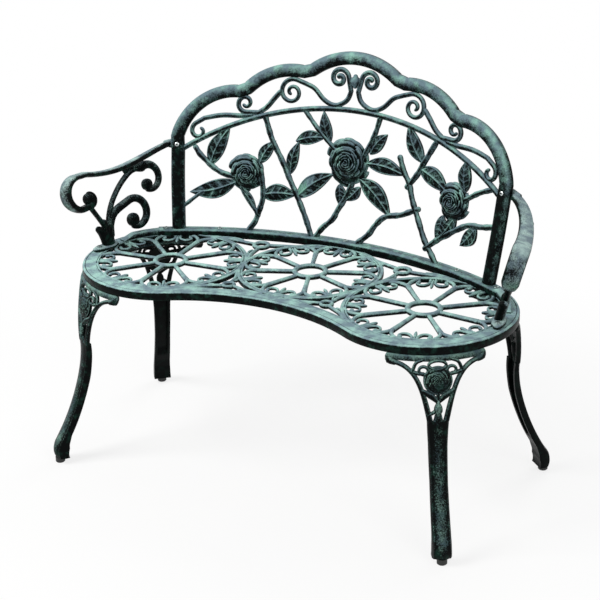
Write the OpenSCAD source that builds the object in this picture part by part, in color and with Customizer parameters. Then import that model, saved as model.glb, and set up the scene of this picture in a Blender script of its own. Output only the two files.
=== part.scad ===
// Cast aluminium garden bench: a rose trellis back, two scrolled arms, a seat of three
// pierced medallions and four cabriole legs, bolted together and standing on plastic glides.

/* [Seat] */
// Height of the top of the seat above the ground
seat_h = 404; // [360:1:460]
// Sideways distance from the middle medallion's hub to an outer one
hub_gap = 293; // [275:1:310]
// How far the middle hub lies behind the outer hubs
hub_set = 75; // [60:1:90]
// Outside radius of the seat's round ends
end_r = 184; // [178:1:196]
// Radius of the opening in each outer medallion
end_open_r = 150; // [140:1:152]
// Radius of the opening in the middle medallion
mid_open_r = 139; // [130:1:141]
// Radius of the hollow curve along the front edge
bay_r = 400; // [340:5:520]
// Thickness of the pierced top
top_t = 9; // [7:0.5:12]
// Depth of the rim, from the top of the seat down
skirt_h = 18; // [15:0.5:24]
// Wall of that rim
skirt_t = 6; // [4:0.5:8]
// Number of spokes in a medallion
spokes = 8; // [6:1:9]
// Width of a spoke
spoke_w = 10; // [7:0.5:12]
// Outside radius of a hub ring
hub_r = 37; // [32:1:42]
// Radius of the hole in a hub ring
hub_hole_r = 27; // [20:1:30]
// Height of a hub ring above the top
hub_rise = 2; // [1:0.5:4]
// Width of the web along the front and rear edges, between the medallions
edge_web = 30; // [24:1:36]
// Width of the ring of metal round each medallion
ring_web = 11; // [8:1:14]

/* [Back] */
// Radius of the back's curve, seen from above, along the middle of its foot rail
back_r = 803; // [790:1:830]
// Distance from the middle of the foot rail to the rear edge of the seat
rail_set = 25; // [20:1:30]
// Radius of that curve at the height of the back's crown, where it has opened out
back_top_r = 1100; // [950:10:1250]
// Angle at which the middle of the back leans to the rear
back_lean = 8.5; // [4:0.5:12]
// Width of the posts and of the scalloped top rail, seen from the front
frame_w = 26; // [22:1:30]
// Depth of that frame from front to rear
frame_t = 15; // [12:1:18]
// Half the distance between the feet of the posts, along the curve
post_s = 379; // [370:1:386]
// How far each post leans out to the side by its top
post_flare = 14; // [0:1:18]
// Height above the seat at which the posts end and the scallops begin
post_h = 208; // [190:1:225]
// Depth of the foot rail from front to rear
rail_w = 28; // [24:1:32]
// Height of the foot rail
rail_h = 12; // [10:0.5:16]
// Height of the inner arc's crown above the seat
arc_h = 287; // [275:1:295]
// Height above the seat at which the inner arc meets the posts
arc_foot_h = 182; // [170:1:195]
// Width of the inner arc
arc_w = 12; // [9:0.5:15]
// Height of the scalloped rail's crown above the seat, at its middle
crown_h = 394; // [380:1:410]
// Distance from the centre line to the inner valley of the scallops
valley_in_s = 108; // [100:1:116]
// Height of the inner valley above the seat
valley_in_h = 354; // [345:1:362]
// Distance from the centre line to the outer valley of the scallops
valley_out_s = 250; // [240:1:258]
// Height of the outer valley above the seat
valley_out_h = 305; // [296:1:312]
// Width of the scrolls between the two rails
scroll_w = 9.5; // [7:0.5:11]
// Width of a rose branch
branch_w = 13; // [10:0.5:16]
// Radius of the large middle rose
rose_r = 48; // [40:1:52]
// Radius of the two smaller roses
side_rose_r = 39; // [32:1:44]
// How far the roses stand out to the front
rose_h = 19; // [14:1:22]

/* [Arms] */
// Distance of the arm's foot bolt from the outer hub
arm_foot_r = 166; // [162:0.5:168]
// Angle of that bolt round the hub, forward of the bench's long axis
arm_foot_turn = 9; // [6:1:12]
// Angle by which the arm's plane opens outward to the front
arm_splay = 15; // [12:1:18]
// Angle by which the arm's plane leans outward
arm_lean = 15; // [10:1:18]
// Height of the armrest's top above the seat, at its crest
arm_h = 166; // [155:1:175]
// Thickness of the armrest strap
strap_t = 11; // [9:0.5:13]
// Width of the strap where it leaves the post
strap_w = 22; // [18:1:26]
// Width of the strap at its front roll
roll_w = 35; // [28:1:38]
// Radius of the front roll, to the middle of the strap
roll_r = 35; // [30:1:38]
// Radius of the knob inside the roll
knob_r = 17; // [14:1:20]
// Thickness of the scrollwork under the strap
scrollwork_t = 12; // [9:0.5:14]
// Width of the scrollwork's bars, seen from the side
scrollwork_w = 11; // [8:0.5:13]
// Thickness of the foot that bolts to the seat
foot_t = 9; // [7:0.5:11]
// Thickness of the ear that bolts to the back of the post
ear_t = 8; // [6:0.5:10]

/* [Legs] */
// Distance from the outer hub to the outer face of a front leg, at its top
leg_top_r = 183; // [178:0.5:184]
// How much nearer the hub the rear legs stand
rear_leg_in = 6; // [0:1:8]
// Angle of the front legs from straight ahead
front_leg_turn = 33; // [26:1:40]
// Angle of the rear legs from straight behind
rear_leg_turn = 42; // [36:1:48]
// How far the knee stands out beyond the top of the leg
knee_out = 25; // [16:1:32]
// Height of the knee above the ground
knee_h = 250; // [235:1:265]
// How far the toe stands out beyond the top of the leg
toe_out = 104; // [90:1:115]
// Half width of the leg's winged top
wing_w = 84; // [78:1:90]
// Width of the leg's shaft
shaft_w = 36; // [32:1:42]
// Depth of the leg's shaft from outer to inner face
shaft_t = 16; // [14:0.5:20]
// Depth of the pierced winged top
wing_t = 9; // [8:0.5:12]
// Depth of the toe
toe_t = 21; // [20:0.5:24]
// Wall of the open-backed shaft
leg_wall = 5; // [4:0.5:6]
// Thickness of the pad that bolts under the seat
pad_t = 7; // [6:0.5:9]
// Angle round the hub between a leg's middle and each of its bolts
pad_bolt_turn = 21; // [19:1:23]
// Radius of the rose on the leg
leg_rose_r = 28; // [24:1:30]
// Width of the bars of the leg's pierced top
leg_bar_w = 8.5; // [7:0.5:10]

/* [Feet and fasteners] */
// Diameter of a foot glide
glide_d = 20; // [16:0.5:22]
// Height of a foot glide below the leg
glide_h = 12; // [8:0.5:15]
// Diameter of the glide's spigot
spigot_d = 8; // [7:0.5:9]
// Length of the glide's spigot
spigot_h = 12; // [8:0.5:14]
// Clearance round the spigot
glide_gap = 0.2; // [0.1:0.1:0.4]
// Thread diameter of the bolts in the back and the arms
bolt_d = 6; // [5:0.5:7]
// Thread diameter of the leg bolts
leg_bolt_d = 8; // [6:0.5:8]
// Radial clearance of a bolt in its hole
bolt_clear = 0.5; // [0.3:0.1:0.8]
// Radial clearance of a bolt's shank in its nut or its tapped boss
thread_clear = 0.1; // [0.05:0.05:0.15]
// Thickness of the washers
washer_t = 1.5; // [1:0.1:2]

/* [Hidden] */

GREEN = "#3d5b56";
DARK = "#2c403b";
STEEL = "#b8bcc0";
BLACK = "#202020";

// Plan of the seat. The rear edge is one arc that runs into the round ends, and the front
// edge is a hollow arc that runs into them from outside. The outer hubs lie at y = 0.
rear_r = back_r + rail_set;
bend_y = -sqrt(pow(rear_r - end_r, 2) - hub_gap * hub_gap);
bay_y = -sqrt(pow(bay_r + end_r, 2) - hub_gap * hub_gap);
skirt_z = seat_h - skirt_h;
hubs = [[-hub_gap, 0, end_open_r, 4.5], [hub_gap, 0, end_open_r, -4.5],
        [0, hub_set, mid_open_r, 22.5]];

// The back is drawn flat, as distance s along its curve and height z, and bent onto a cone.
rail_top = seat_h + rail_h;
crown_z = seat_h + crown_h;
arc_z = seat_h + arc_h;
arc_foot_z = seat_h + arc_foot_h;
post_z = seat_h + post_h;
post_top_s = post_s + post_flare;
valley_in = [valley_in_s, seat_h + valley_in_h];
valley_out = [valley_out_s, seat_h + valley_out_h];
lobe_in_rise = 21;
lobe_out_rise = 33;
arc_sag = arc_z - arc_foot_z;
arc_r = (post_s * post_s + arc_sag * arc_sag) / (2 * arc_sag);
rail_end_s = post_s + 44;
rail_bolts_s = [-post_s - 27, -288, 0, 288, post_s + 27];

// Cross sections of the cast bars, as half widths and half depths
round_bar = [for (a = [30:60:330]) [cos(a), sin(a)] * 1.12];
frame_bar = [[1, -0.4], [1, 0.4], [0.6, 1], [-0.6, 1],
             [-1, 0.4], [-1, -0.4], [-0.6, -1], [0.6, -1]];
leaf_bar = [[1, 0.2], [0, 1], [-1, 0.2], [0, -0.6]];

// The branches of the rose panel, each as [width share, points], and its leaves, each as
// [foot, tip, width]. Points are percentages of the half opening and of the height under
// the inner arc, measured from the middle of the foot rail.
branches = [
    [1, [[-93, 63], [-89, 56], [-79, 45], [-68, 40]]],
    [1, [[-54, 47], [-52, 32], [-52, 24], [-54, 14], [-56, 6], [-61, -3]]],
    [0.8, [[-66, 38], [-60, 24], [-54, 12]]],
    [0.7, [[-88, 28], [-98, 17]]],
    [1, [[-53, 89], [-48, 71], [-42, 57], [-36, 41], [-29, 23], [-24, 8], [-21, -3]]],
    [0.8, [[-30, 99], [-21, 83], [-10, 69]]],
    [0.9, [[17, 100], [14, 84], [8, 66]]],
    [1, [[2, 45], [-1, 35], [-6, 23], [-9, 15], [-15, 7], [-20, -3]]],
    [1, [[5, -3], [14, 8], [18, 16], [24, 24], [34, 28], [40, 34], [46, 38]]],
    [1, [[31, 71], [34, 61], [38, 53], [41, 41], [46, 27], [51, 14], [57, 4], [61, -3]]],
    [1, [[37, 50], [43, 61], [46, 69], [49, 76], [54, 88]]],
    [0.9, [[76, 51], [85, 59], [95, 65]]],
    [1, [[52, 8], [59, 16], [65, 22], [72, 28], [80, 34], [89, 36], [98, 39]]]];
leaves = [
    [[-83, 52], [-73, 76], 36], [[-55, 52], [-46, 71], 28], [[-68, 37], [-95, 28], 40],
    [[-66, 34], [-55, 12], 26], [[-53, 28], [-32, 30], 38], [[-32, 28], [-10, 50], 38],
    [[-36, 46], [-32, 72], 26], [[-34, 72], [-16, 77], 30], [[-13, 74], [-18, 97], 26],
    [[12, 69], [22, 86], 30], [[10, 62], [35, 58], 34], [[8, 47], [27, 25], 40],
    [[-6, 43], [-5, 26], 24], [[7, 43], [-2, 31], 24], [[46, 70], [35, 96], 34],
    [[44, 66], [64, 53], 38], [[76, 57], [75, 80], 32], [[62, 36], [59, 15], 28],
    [[71, 38], [59, 16], 28], [[86, 34], [76, 18], 30]];
roses = [[[-62, 45], side_rose_r], [[-1, 61], rose_r], [[69, 48], side_rose_r]];

// The arm's plane stands on its foot. Points in it are [forward, up the plane].
arm_foot = [hub_gap + arm_foot_r * cos(arm_foot_turn), -arm_foot_r * sin(arm_foot_turn),
            seat_h + foot_t];
arm_fore = [sin(arm_splay), -cos(arm_splay), 0];
arm_out = [cos(arm_splay) * cos(arm_lean), sin(arm_splay) * cos(arm_lean), -sin(arm_lean)];
arm_up = cross(arm_fore, arm_out);
crest_b = (arm_h - foot_t - strap_t / 2) / cos(arm_lean);
roll_c = [18, crest_b - roll_r];
knob_c = [roll_c[0] - 20, roll_c[1] - roll_r + strap_t / 2 + knob_r - 3];
post_bolt_s = post_s + post_flare - 1;
post_bolt_z = post_z - 17;
ear_gap = 0.1;
lip_r = end_r - rail_set;
lip_w = rail_w * 0.6;
lip_turn = 25 - arm_foot_turn;
rail_end = on_back(rail_end_s, seat_h);
lip_end_turn = atan2(rail_end[1], rail_end[0] - hub_gap) - 2;
foot_plan = [[6, 0], [-24, 0], [-44, 1]];

// The leg's side is drawn as [radius from the hub, height] and its face as [sideways, height].
sole_z = glide_h;
toe_r = leg_top_r + toe_out;
knee_r = leg_top_r + knee_out;
glide_r = toe_r - glide_d / 2 - 1;
pad_bolt_r = (end_open_r + end_r - skirt_t) / 2;
boss_d = leg_bolt_d + 9;
leg_bolt_reach = skirt_h - top_t - 0.5;
leg_rose_z = skirt_z - 42;
leg_open_z = skirt_z - 124;

// Fastener heads and nuts
button_d = bolt_d * 1.8;
button_h = bolt_d * 0.55;
nut_d = bolt_d * 1.9;
nut_h = bolt_d * 0.8;
washer_d = bolt_d * 2.1;
leg_head_d = leg_bolt_d * 1.8;
leg_head_h = leg_bolt_d * 0.65;
leg_washer_d = leg_bolt_d * 2;
tail = 2.5;

// The bench's own origin lies on the ground, half way between its foremost and rearmost points.
foremost = -toe_r * cos(front_leg_turn) - shaft_w / 2 * sin(front_leg_turn);
rearmost = on_back(0, crown_z)[1] + frame_t / 2 * cos(back_lean);
mid_y = (foremost + rearmost) / 2;

function unit(v) = v / norm(v);
function along(p, i) = unit(p[min(i + 1, len(p) - 1)] - p[max(i - 1, 0)]);
function reversed(p) = [for (i = [len(p) - 1:-1:0]) p[i]];
function sided(p, k) = [for (q = p) [k * q[0], q[1]]];
// Radius of the back's curve at height z, and its direction there at distance s
function bend_r(z) = back_r + (back_top_r - back_r) * (z - seat_h) / crown_h;
function bend_angle(s, z = seat_h) = s / bend_r(z) * 180 / PI;
function back_sheet(s, z) =
    let (a = bend_angle(s, z), r = bend_r(z))
    [r * sin(a), bend_y + back_r + (z - seat_h) * tan(back_lean) - r * (1 - cos(a)), z];
function back_normal(s, z) =
    unit(cross(back_sheet(s, z + 1) - back_sheet(s, z - 1),
               back_sheet(s + 1, z) - back_sheet(s - 1, z)));
// The point of the back at distance s and height z, t to the rear of its middle surface
function on_back(s, z, t = 0) = back_sheet(s, z) + t * back_normal(s, z);
// Points of the arc that rises by h over the chord from p to q
function bulge(p, q, h, n) =
    let (c = norm(q - p) / 2, r = (c * c + h * h) / (2 * h), a = asin(c / r),
         u = (q - p) / (2 * c), v = [-u[1], u[0]])
    [for (i = [0:n]) let (b = -a + 2 * a * i / n)
        (p + q) / 2 + u * r * sin(b) + v * (r * cos(b) - r + h)];
// Points of a spiral about c, from radius r0 at angle a0 to radius r1 at angle a1
function spiral(c, r0, r1, a0, a1, n) =
    [for (i = [0:n]) let (k = i / n, a = a0 + (a1 - a0) * k)
        c + (r0 + (r1 - r0) * k) * [cos(a), sin(a)]];
function curve(p, n) =
    [for (i = [0:n]) let (t = i / n, m = 1 - t)
        m * m * m * p[0] + 3 * m * m * t * p[1] + 3 * m * t * t * p[2] + t * t * t * p[3]];
// A point of the rose panel, from its percentages
function panel(p) = [post_s * p[0] / 100, rail_top + (arc_z - rail_top) * p[1] / 100];
// Height of the inner arc at distance s
function arc_at(s) = arc_z - arc_r + sqrt(arc_r * arc_r - s * s);
// A point of the arm's plane in space
function arm_point(f, b) = arm_foot + f * arm_fore + b * arm_up;

// A bar of the given section along points p. The sides point across it at each of them.
module sweep(p, sides, wide, thick, section) {
    m = len(section);
    n = len(p);
    rings = [for (i = [0:n - 1]) for (q = section)
        p[i] + sides[i] * q[0] * wide[i] / 2
        + unit(cross(along(p, i), sides[i])) * q[1] * thick[i] / 2];
    skin = [for (i = [0:n - 2]) for (j = [0:m - 1])
        let (a = i * m + j, b = i * m + (j + 1) % m)
        for (f = [[a, a + m, b + m], [a, b + m, b]]) f];
    ends = [[for (j = [0:m - 1]) j], [for (j = [m - 1:-1:0]) (n - 1) * m + j]];
    polyhedron(rings, concat(skin, ends), convexity = 8);
}

// A bar of the back along [s, z] points p, with widths w and depths t at them
module back_bar(p, w, t, section = round_bar) {
    n = len(p);
    q = [for (c = p) on_back(c[0], c[1])];
    sides = [for (i = [0:n - 1]) unit(cross(back_normal(p[i][0], p[i][1]), along(q, i)))];
    sweep(q, sides, is_list(w) ? w : [for (i = p) w], is_list(t) ? t : [for (i = p) t], section);
}

// Puts children on the back at [s, z], with y to the rear and z up the lean
module at_back(s, z) {
    translate(on_back(s, z)) rotate([0, 0, -bend_angle(s, z)])
        rotate([asin(back_normal(s, z)[2]), 0, 0]) children();
}

// A leaf from its foot a to its tip b, w wide, with a ridge along its midrib
module leaf(a, b, w) {
    n = 6;
    across = [a[1] - b[1], b[0] - a[0]] * 0.06;
    p = [for (i = [0:n]) a + (b - a) * i / n + across * sin(180 * i / n)];
    wide = [for (i = [0:n]) max(2, w * sin(180 * pow(i / n, 0.85)))];
    deep = [for (i = [0:n]) 3 + 5 * sin(180 * i / n)];
    back_bar(p, wide, deep, leaf_bar);
}

// An open rose, r in radius and h deep: rings of petals whose lobed walls stand round a bud,
// each ring smaller and higher than the one outside it
module rose(r, h) {
    rings = [[5, 1, -0.1, 0.3], [5, 0.76, 0.08, 0.52], [4, 0.54, 0.28, 0.74], [3, 0.35, 0.48, 0.9]];
    for (k = [0:3]) let (q = rings[k]) rotate(k * 41 + 12) {
        translate([0, 0, h * q[2]]) linear_extrude(h * 0.22) petals(q[0], r * q[1]);
        translate([0, 0, h * q[2] + 1]) linear_extrude(h * (q[3] - q[2]) - 1) difference() {
            petals(q[0], r * q[1]);
            petals(q[0], r * q[1] * 0.84);
        }
    }
    translate([0, 0, h * 0.5]) cylinder(r1 = r * 0.2, r2 = r * 0.08, h = h * 0.5, $fn = 24);
}

module petals(n, r) {
    for (i = [0:n - 1]) rotate(i * 360 / n) translate([r * 0.57, 0]) circle(r = r * 0.43, $fn = 32);
    circle(r = r * 0.62, $fn = 32);
}

// A flat bar along points p, w wide, with round ends
module stroke(p, w) {
    for (q = p) translate(q) circle(d = w, $fn = 10);
    for (i = [0:len(p) - 2]) {
        d = p[i + 1] - p[i];
        translate((p[i] + p[i + 1]) / 2) rotate(atan2(d[1], d[0])) square([norm(d), w], center = true);
    }
}

module seat_outline() {
    turn = asin(hub_gap / (rear_r - end_r));
    rear = [rear_r * sin(turn), bend_y + rear_r * cos(turn)];
    front = [hub_gap * bay_r, bay_y * end_r] / (bay_r + end_r);
    for (k = [-1, 1]) translate([k * hub_gap, 0]) circle(r = end_r, $fn = 120);
    difference() {
        intersection() {
            translate([0, bend_y]) circle(r = rear_r, $fn = 300);
            polygon([[-rear[0], rear_r], [-rear[0], rear[1]], [-hub_gap, 0], [-front[0], front[1]],
                     [front[0], front[1]], [hub_gap, 0], [rear[0], rear[1]], [rear[0], rear_r]]);
        }
        translate([0, bay_y]) circle(r = bay_r, $fn = 200);
    }
}

// The spokes of one medallion. Each forks near the ring into two arms that run into it, and a
// bud of three fingers grows inward from the ring between every two spokes.
module medallion_bars(open_r, turn) {
    fork_r = open_r * 0.25;
    for (i = [0:spokes - 1]) rotate(turn + i * 360 / spokes) {
        translate([hub_hole_r + 2, -spoke_w / 2]) square([open_r - fork_r - hub_hole_r + 4, spoke_w]);
        for (k = [-1, 1]) intersection() {
            translate([open_r - fork_r, k * fork_r]) difference() {
                circle(r = fork_r + spoke_w * 0.35, $fn = 40);
                circle(r = fork_r - spoke_w * 0.35, $fn = 40);
            }
            translate([open_r - fork_r, k > 0 ? -spoke_w : -fork_r])
                square([fork_r + spoke_w, fork_r + spoke_w]);
        }
        rotate(180 / spokes) {
            stroke([[open_r + 2, 0], [open_r * 0.78, 0]], spoke_w * 0.8);
            for (k = [-1, 1])
                stroke([[open_r + 2, k * 5], [open_r * 0.93, k * 14], [open_r * 0.85, k * 14]],
                       spoke_w * 0.7);
        }
    }
}

// The openings between the medallions, each with an open scroll left standing in it
module infill_openings() {
    difference() {
        offset(delta = -edge_web) seat_outline();
        for (h = hubs) translate([h[0], h[1]]) circle(r = h[2] + ring_web, $fn = 90);
        both_sides() {
            translate([hub_gap * 0.38, -hub_set * 0.83]) rotate(73) open_scroll(15);
            translate([hub_gap * 0.57, hub_set * 2.17]) rotate(-101) open_scroll(20);
        }
    }
}

// An eye of radius r with a stem to each of the three corners of its opening
module open_scroll(r) {
    stem_w = spoke_w * 0.8;
    difference() {
        union() {
            circle(r = r, $fn = 30);
            for (a = [0, 107, -107]) rotate(a) translate([0, -stem_w / 2]) square([r * 8, stem_w]);
        }
        circle(r = r * 0.55, $fn = 24);
    }
}

// Places children at the head of every bolt through the foot rail
module at_rail_bolts() {
    for (s = rail_bolts_s) translate([on_back(s, seat_h)[0], on_back(s, seat_h)[1], 0]) children();
}

// Places children at a leg, with x outward from the outer hub
module at_leg(side, front) {
    turn = front ? -90 + side * front_leg_turn : 90 - side * rear_leg_turn;
    translate([side * hub_gap, 0, 0]) rotate(turn) translate([front ? 0 : -rear_leg_in, 0, 0]) children();
}

module at_every_leg() {
    for (side = [-1, 1]) for (front = [true, false]) at_leg(side, front) children();
}

module at_pad_bolts() {
    for (k = [-1, 1]) rotate(k * pad_bolt_turn) translate([pad_bolt_r, 0, 0]) children();
}

// Places children at an arm, with x forward, y outward and z up the arm's plane
module at_arm() {
    translate(arm_foot) rotate(arm_splay - 90) rotate([-arm_lean, 0, 0]) children();
}

module at_arm_feet() {
    for (k = [-1, 1]) translate([k * arm_foot[0], arm_foot[1], 0]) children();
}

module at_post_bolts() {
    for (k = [-1, 1]) at_back(k * post_bolt_s, post_bolt_z) rotate([90, 0, 0]) children();
}

module both_sides() {
    for (k = [0, 1]) mirror([k, 0, 0]) children();
}

module seat() {
    color(GREEN) translate([0, -mid_y, 0]) {
        difference() {
            translate([0, 0, seat_h - top_t]) linear_extrude(top_t) seat_top();
            at_rail_bolts() translate([0, 0, seat_h - top_t - 1])
                cylinder(d = bolt_d + 2 * bolt_clear, h = top_t + 2, $fn = 24);
            at_arm_feet() translate([0, 0, seat_h - top_t - 1])
                cylinder(d = bolt_d + 2 * bolt_clear, h = top_t + 2, $fn = 24);
        }
        translate([0, 0, skirt_z]) linear_extrude(skirt_h - top_t + 1) difference() {
            offset(delta = -0.5) seat_outline();
            offset(delta = -skirt_t) seat_outline();
        }
        for (h = hubs) translate([h[0], h[1], seat_h - 1])
            ring(2 * hub_hole_r + 0.5, 2 * hub_r - 1, hub_rise + 1);
        at_every_leg() at_pad_bolts() translate([0, 0, skirt_z])
            ring(leg_bolt_d + 2 * thread_clear, boss_d, skirt_h - top_t + 1);
        both_sides() translate([hub_gap, 0, seat_h - 1]) rotate(lip_turn)
            rotate_extrude(angle = lip_end_turn - lip_turn, $fn = 96) translate([lip_r - lip_w / 2, 0])
            polygon([[0, 0], [lip_w, 0], [lip_w, rail_h - 2], [lip_w - 3, rail_h + 1],
                     [3, rail_h + 1], [0, rail_h - 2]]);
    }
}

module seat_top() {
    offset(delta = -1) offset(delta = 1) difference() {
        seat_outline();
        for (h = hubs) translate([h[0], h[1]]) difference() {
            circle(r = h[2], $fn = 72);
            difference() {
                union() {
                    circle(r = hub_r, $fn = 48);
                    medallion_bars(h[2], h[3]);
                }
                circle(r = hub_hole_r, $fn = 48);
            }
        }
        infill_openings();
    }
}

module top_rail() {
    shoulder = [post_top_s, post_z];
    for (k = [-1, 1]) {
        post = [[post_s, rail_top - 2], [post_s + post_flare * 0.8, post_z - 30]];
        back_bar(sided(concat(post, reversed(bulge(valley_out, shoulder, lobe_out_rise, 8))), k),
                 frame_w, frame_t, frame_bar);
        back_bar(sided(bulge(valley_in, valley_out, lobe_in_rise, 7), k), frame_w, frame_t, frame_bar);
    }
    back_bar(bulge([-valley_in_s, valley_in[1]], valley_in, crown_z - valley_in[1], 10),
             frame_w, frame_t, frame_bar);
}

// The scrolls of one half, between the inner arc and the scalloped rail
module scrolls(k) {
    deep = frame_t * 0.65;
    eye = [36, crown_z - 44];
    coil = [143, valley_in[1] - 42];
    curl = [243, valley_out[1] - 22];
    hook = [346, arc_at(346) + 19];
    low = arc_w / 2 + scroll_w / 2 - 3;
    middle = concat(spiral(eye, 6, 21, 180, 540, 14),
                    [[7, eye[1] - 20], [15, arc_at(15) + 22], [30, arc_at(30) + low + 3],
                     [48, arc_at(48) + low], [70, arc_at(70) + low + 11], [92, arc_at(92) + 42],
                     [114, coil[1] + 25]],
                    spiral(coil, 25, 7, 105, -330, 16));
    back_bar(sided(middle, k), scroll_w, deep);
    side = concat([[170, coil[1] - 2], [182, arc_at(182) + 32], [199, arc_at(199) + 16],
                   [220, arc_at(220) + low]],
                  spiral(curl, 17, 6, -95, 280, 12));
    back_bar(sided(side, k), scroll_w, deep);
    outer = concat([[232, arc_at(232) + low], [254, arc_at(254) + 13], [298, arc_at(298) + 30],
                    [340, arc_at(340) + 42]],
                   spiral(hook, 18, 8, 60, -200, 9));
    back_bar(sided(outer, k), scroll_w, deep);
}

module backrest() {
    foot = bend_angle(rail_end_s);
    color(GREEN) translate([0, -mid_y, 0]) difference() {
        union() {
            top_rail();
            translate([0, bend_y, seat_h]) rotate(90 - foot) rotate_extrude(angle = 2 * foot, $fn = 180)
                translate([back_r - rail_w / 2, 0])
                polygon([[0, 0], [rail_w, 0], [rail_w, rail_h - 3], [rail_w - 4, rail_h],
                         [4, rail_h], [0, rail_h - 3]]);
            back_bar([for (i = [-10:10]) let (s = post_s * i / 10) [s, arc_at(s)]], arc_w, frame_t * 0.8);
            for (k = [-1, 1]) scrolls(k);
            at_back(0, crown_z - 47) rotate([90, 0, 0]) rotate_extrude($fn = 24)
                polygon([[0, -8], [7, -8], [11, -4], [11, 4], [7, 8], [0, 8]]);
            for (b = branches) back_bar([for (q = b[1]) panel(q)], branch_w * b[0], frame_t * 0.7);
            for (l = leaves) leaf(panel(l[0]), panel(l[1]), l[2]);
            for (r = roses) at_back(panel(r[0])[0], panel(r[0])[1]) rotate([90, 0, 0]) rose(r[1], rose_h);
        }
        at_rail_bolts() translate([0, 0, seat_h - 1])
            cylinder(d = bolt_d + 2 * bolt_clear, h = rail_h + 2, $fn = 24);
        at_post_bolts() translate([0, 0, -frame_t])
            cylinder(d = bolt_d + 2 * bolt_clear, h = 2 * frame_t, $fn = 24);
    }
}

// The right arm: a strap from the post to the front roll, the scrollwork that carries it, an
// ear behind the post and a foot on the seat
module arm() {
    rise = curve([on_back(post_bolt_s + 23, post_bolt_z - 1, frame_t / 2), arm_point(-168, crest_b + 6),
                  arm_point(-98, crest_b - 25), arm_point(-4, crest_b)], 14);
    roll = [for (a = [84:-12:-90]) let (q = roll_c + roll_r * [cos(a), sin(a)]) arm_point(q[0], q[1])];
    path = concat(rise, roll, [arm_point(knob_c[0], roll_c[1] - roll_r)]);
    n = len(path);
    across = [for (i = [0:n - 1]) i < len(rise) ? unit(cross(arm_up, along(path, i))) : arm_out];
    wide = [for (i = [0:n - 1]) strap_w + (roll_w - strap_w) * min(1, i / len(rise))];
    difference() {
        union() {
            sweep(path, across, wide, [for (i = path) strap_t], frame_bar);
            at_arm() {
                rotate([90, 0, 0]) linear_extrude(scrollwork_t, center = true) scrollwork();
                translate([knob_c[0], 0, knob_c[1]]) rotate([90, 0, 0])
                    cylinder(r = knob_r, h = roll_w + 2, center = true, $fn = 32);
                rotate([90, 0, 0]) linear_extrude(scrollwork_t + 8, center = true)
                    polygon([[-36, -4], [-12, -4], [-6, 20], [-2, 42], [-12, 36], [-25, 44],
                             [-38, 36], [-48, 42], [-42, 20]]);
            }
            translate([arm_foot[0], arm_foot[1], seat_h]) linear_extrude(foot_t) rotate(arm_splay - 90)
                stroke(foot_plan, 28);
            at_back(post_bolt_s, post_bolt_z) translate([0, frame_t / 2 + ear_gap, 0]) rotate([-90, 0, 0])
                linear_extrude(ear_t) stroke([[0, 0], [24, 0]], 26);
        }
        translate([arm_foot[0], arm_foot[1], seat_h - 1])
            cylinder(d = bolt_d + 2 * bolt_clear, h = foot_t + 30, $fn = 24);
        translate([arm_foot[0], arm_foot[1], seat_h + foot_t]) cylinder(d = button_d + 4, h = 40, $fn = 32);
        at_back(post_bolt_s, post_bolt_z) rotate([-90, 0, 0])
            cylinder(d = bolt_d + 2 * bolt_clear, h = frame_t + ear_t + 4, $fn = 24);
    }
}

// The scrollwork in the arm's plane: a stay, two volutes with their buds and a link to the roll
module scrollwork() {
    low = (rail_h + 0.3 - foot_t) / cos(arm_lean) + scrollwork_t / 2 * tan(arm_lean);
    lower = [-115, low + 40];
    upper = [-171, crest_b - 48];
    stroke([[-38, 40], [-53, 68], [-78, 95], [-111, crest_b - 38], [-140, crest_b - 16]],
           scrollwork_w * 0.9);
    stroke(concat([[-130, crest_b - 6]], spiral(upper, 32, 24, 55, 292, 12)), scrollwork_w * 1.1);
    translate(upper + [9, -12]) circle(r = 12, $fn = 20);
    stroke(concat([[-46, 55], [-69, low + 60]], spiral(lower, 34.5, 27, 62, 296, 12)),
           scrollwork_w * 1.2);
    translate(lower + [11, -12]) circle(r = 13.5, $fn = 20);
    stroke([[-4, roll_c[1] - roll_r], [-12, 66], [-25, 40]], scrollwork_w * 0.8);
}

module arm_left() {
    color(GREEN) translate([0, -mid_y, 0]) mirror([1, 0, 0]) arm();
}

module arm_right() {
    color(GREEN) translate([0, -mid_y, 0]) arm();
}

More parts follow.
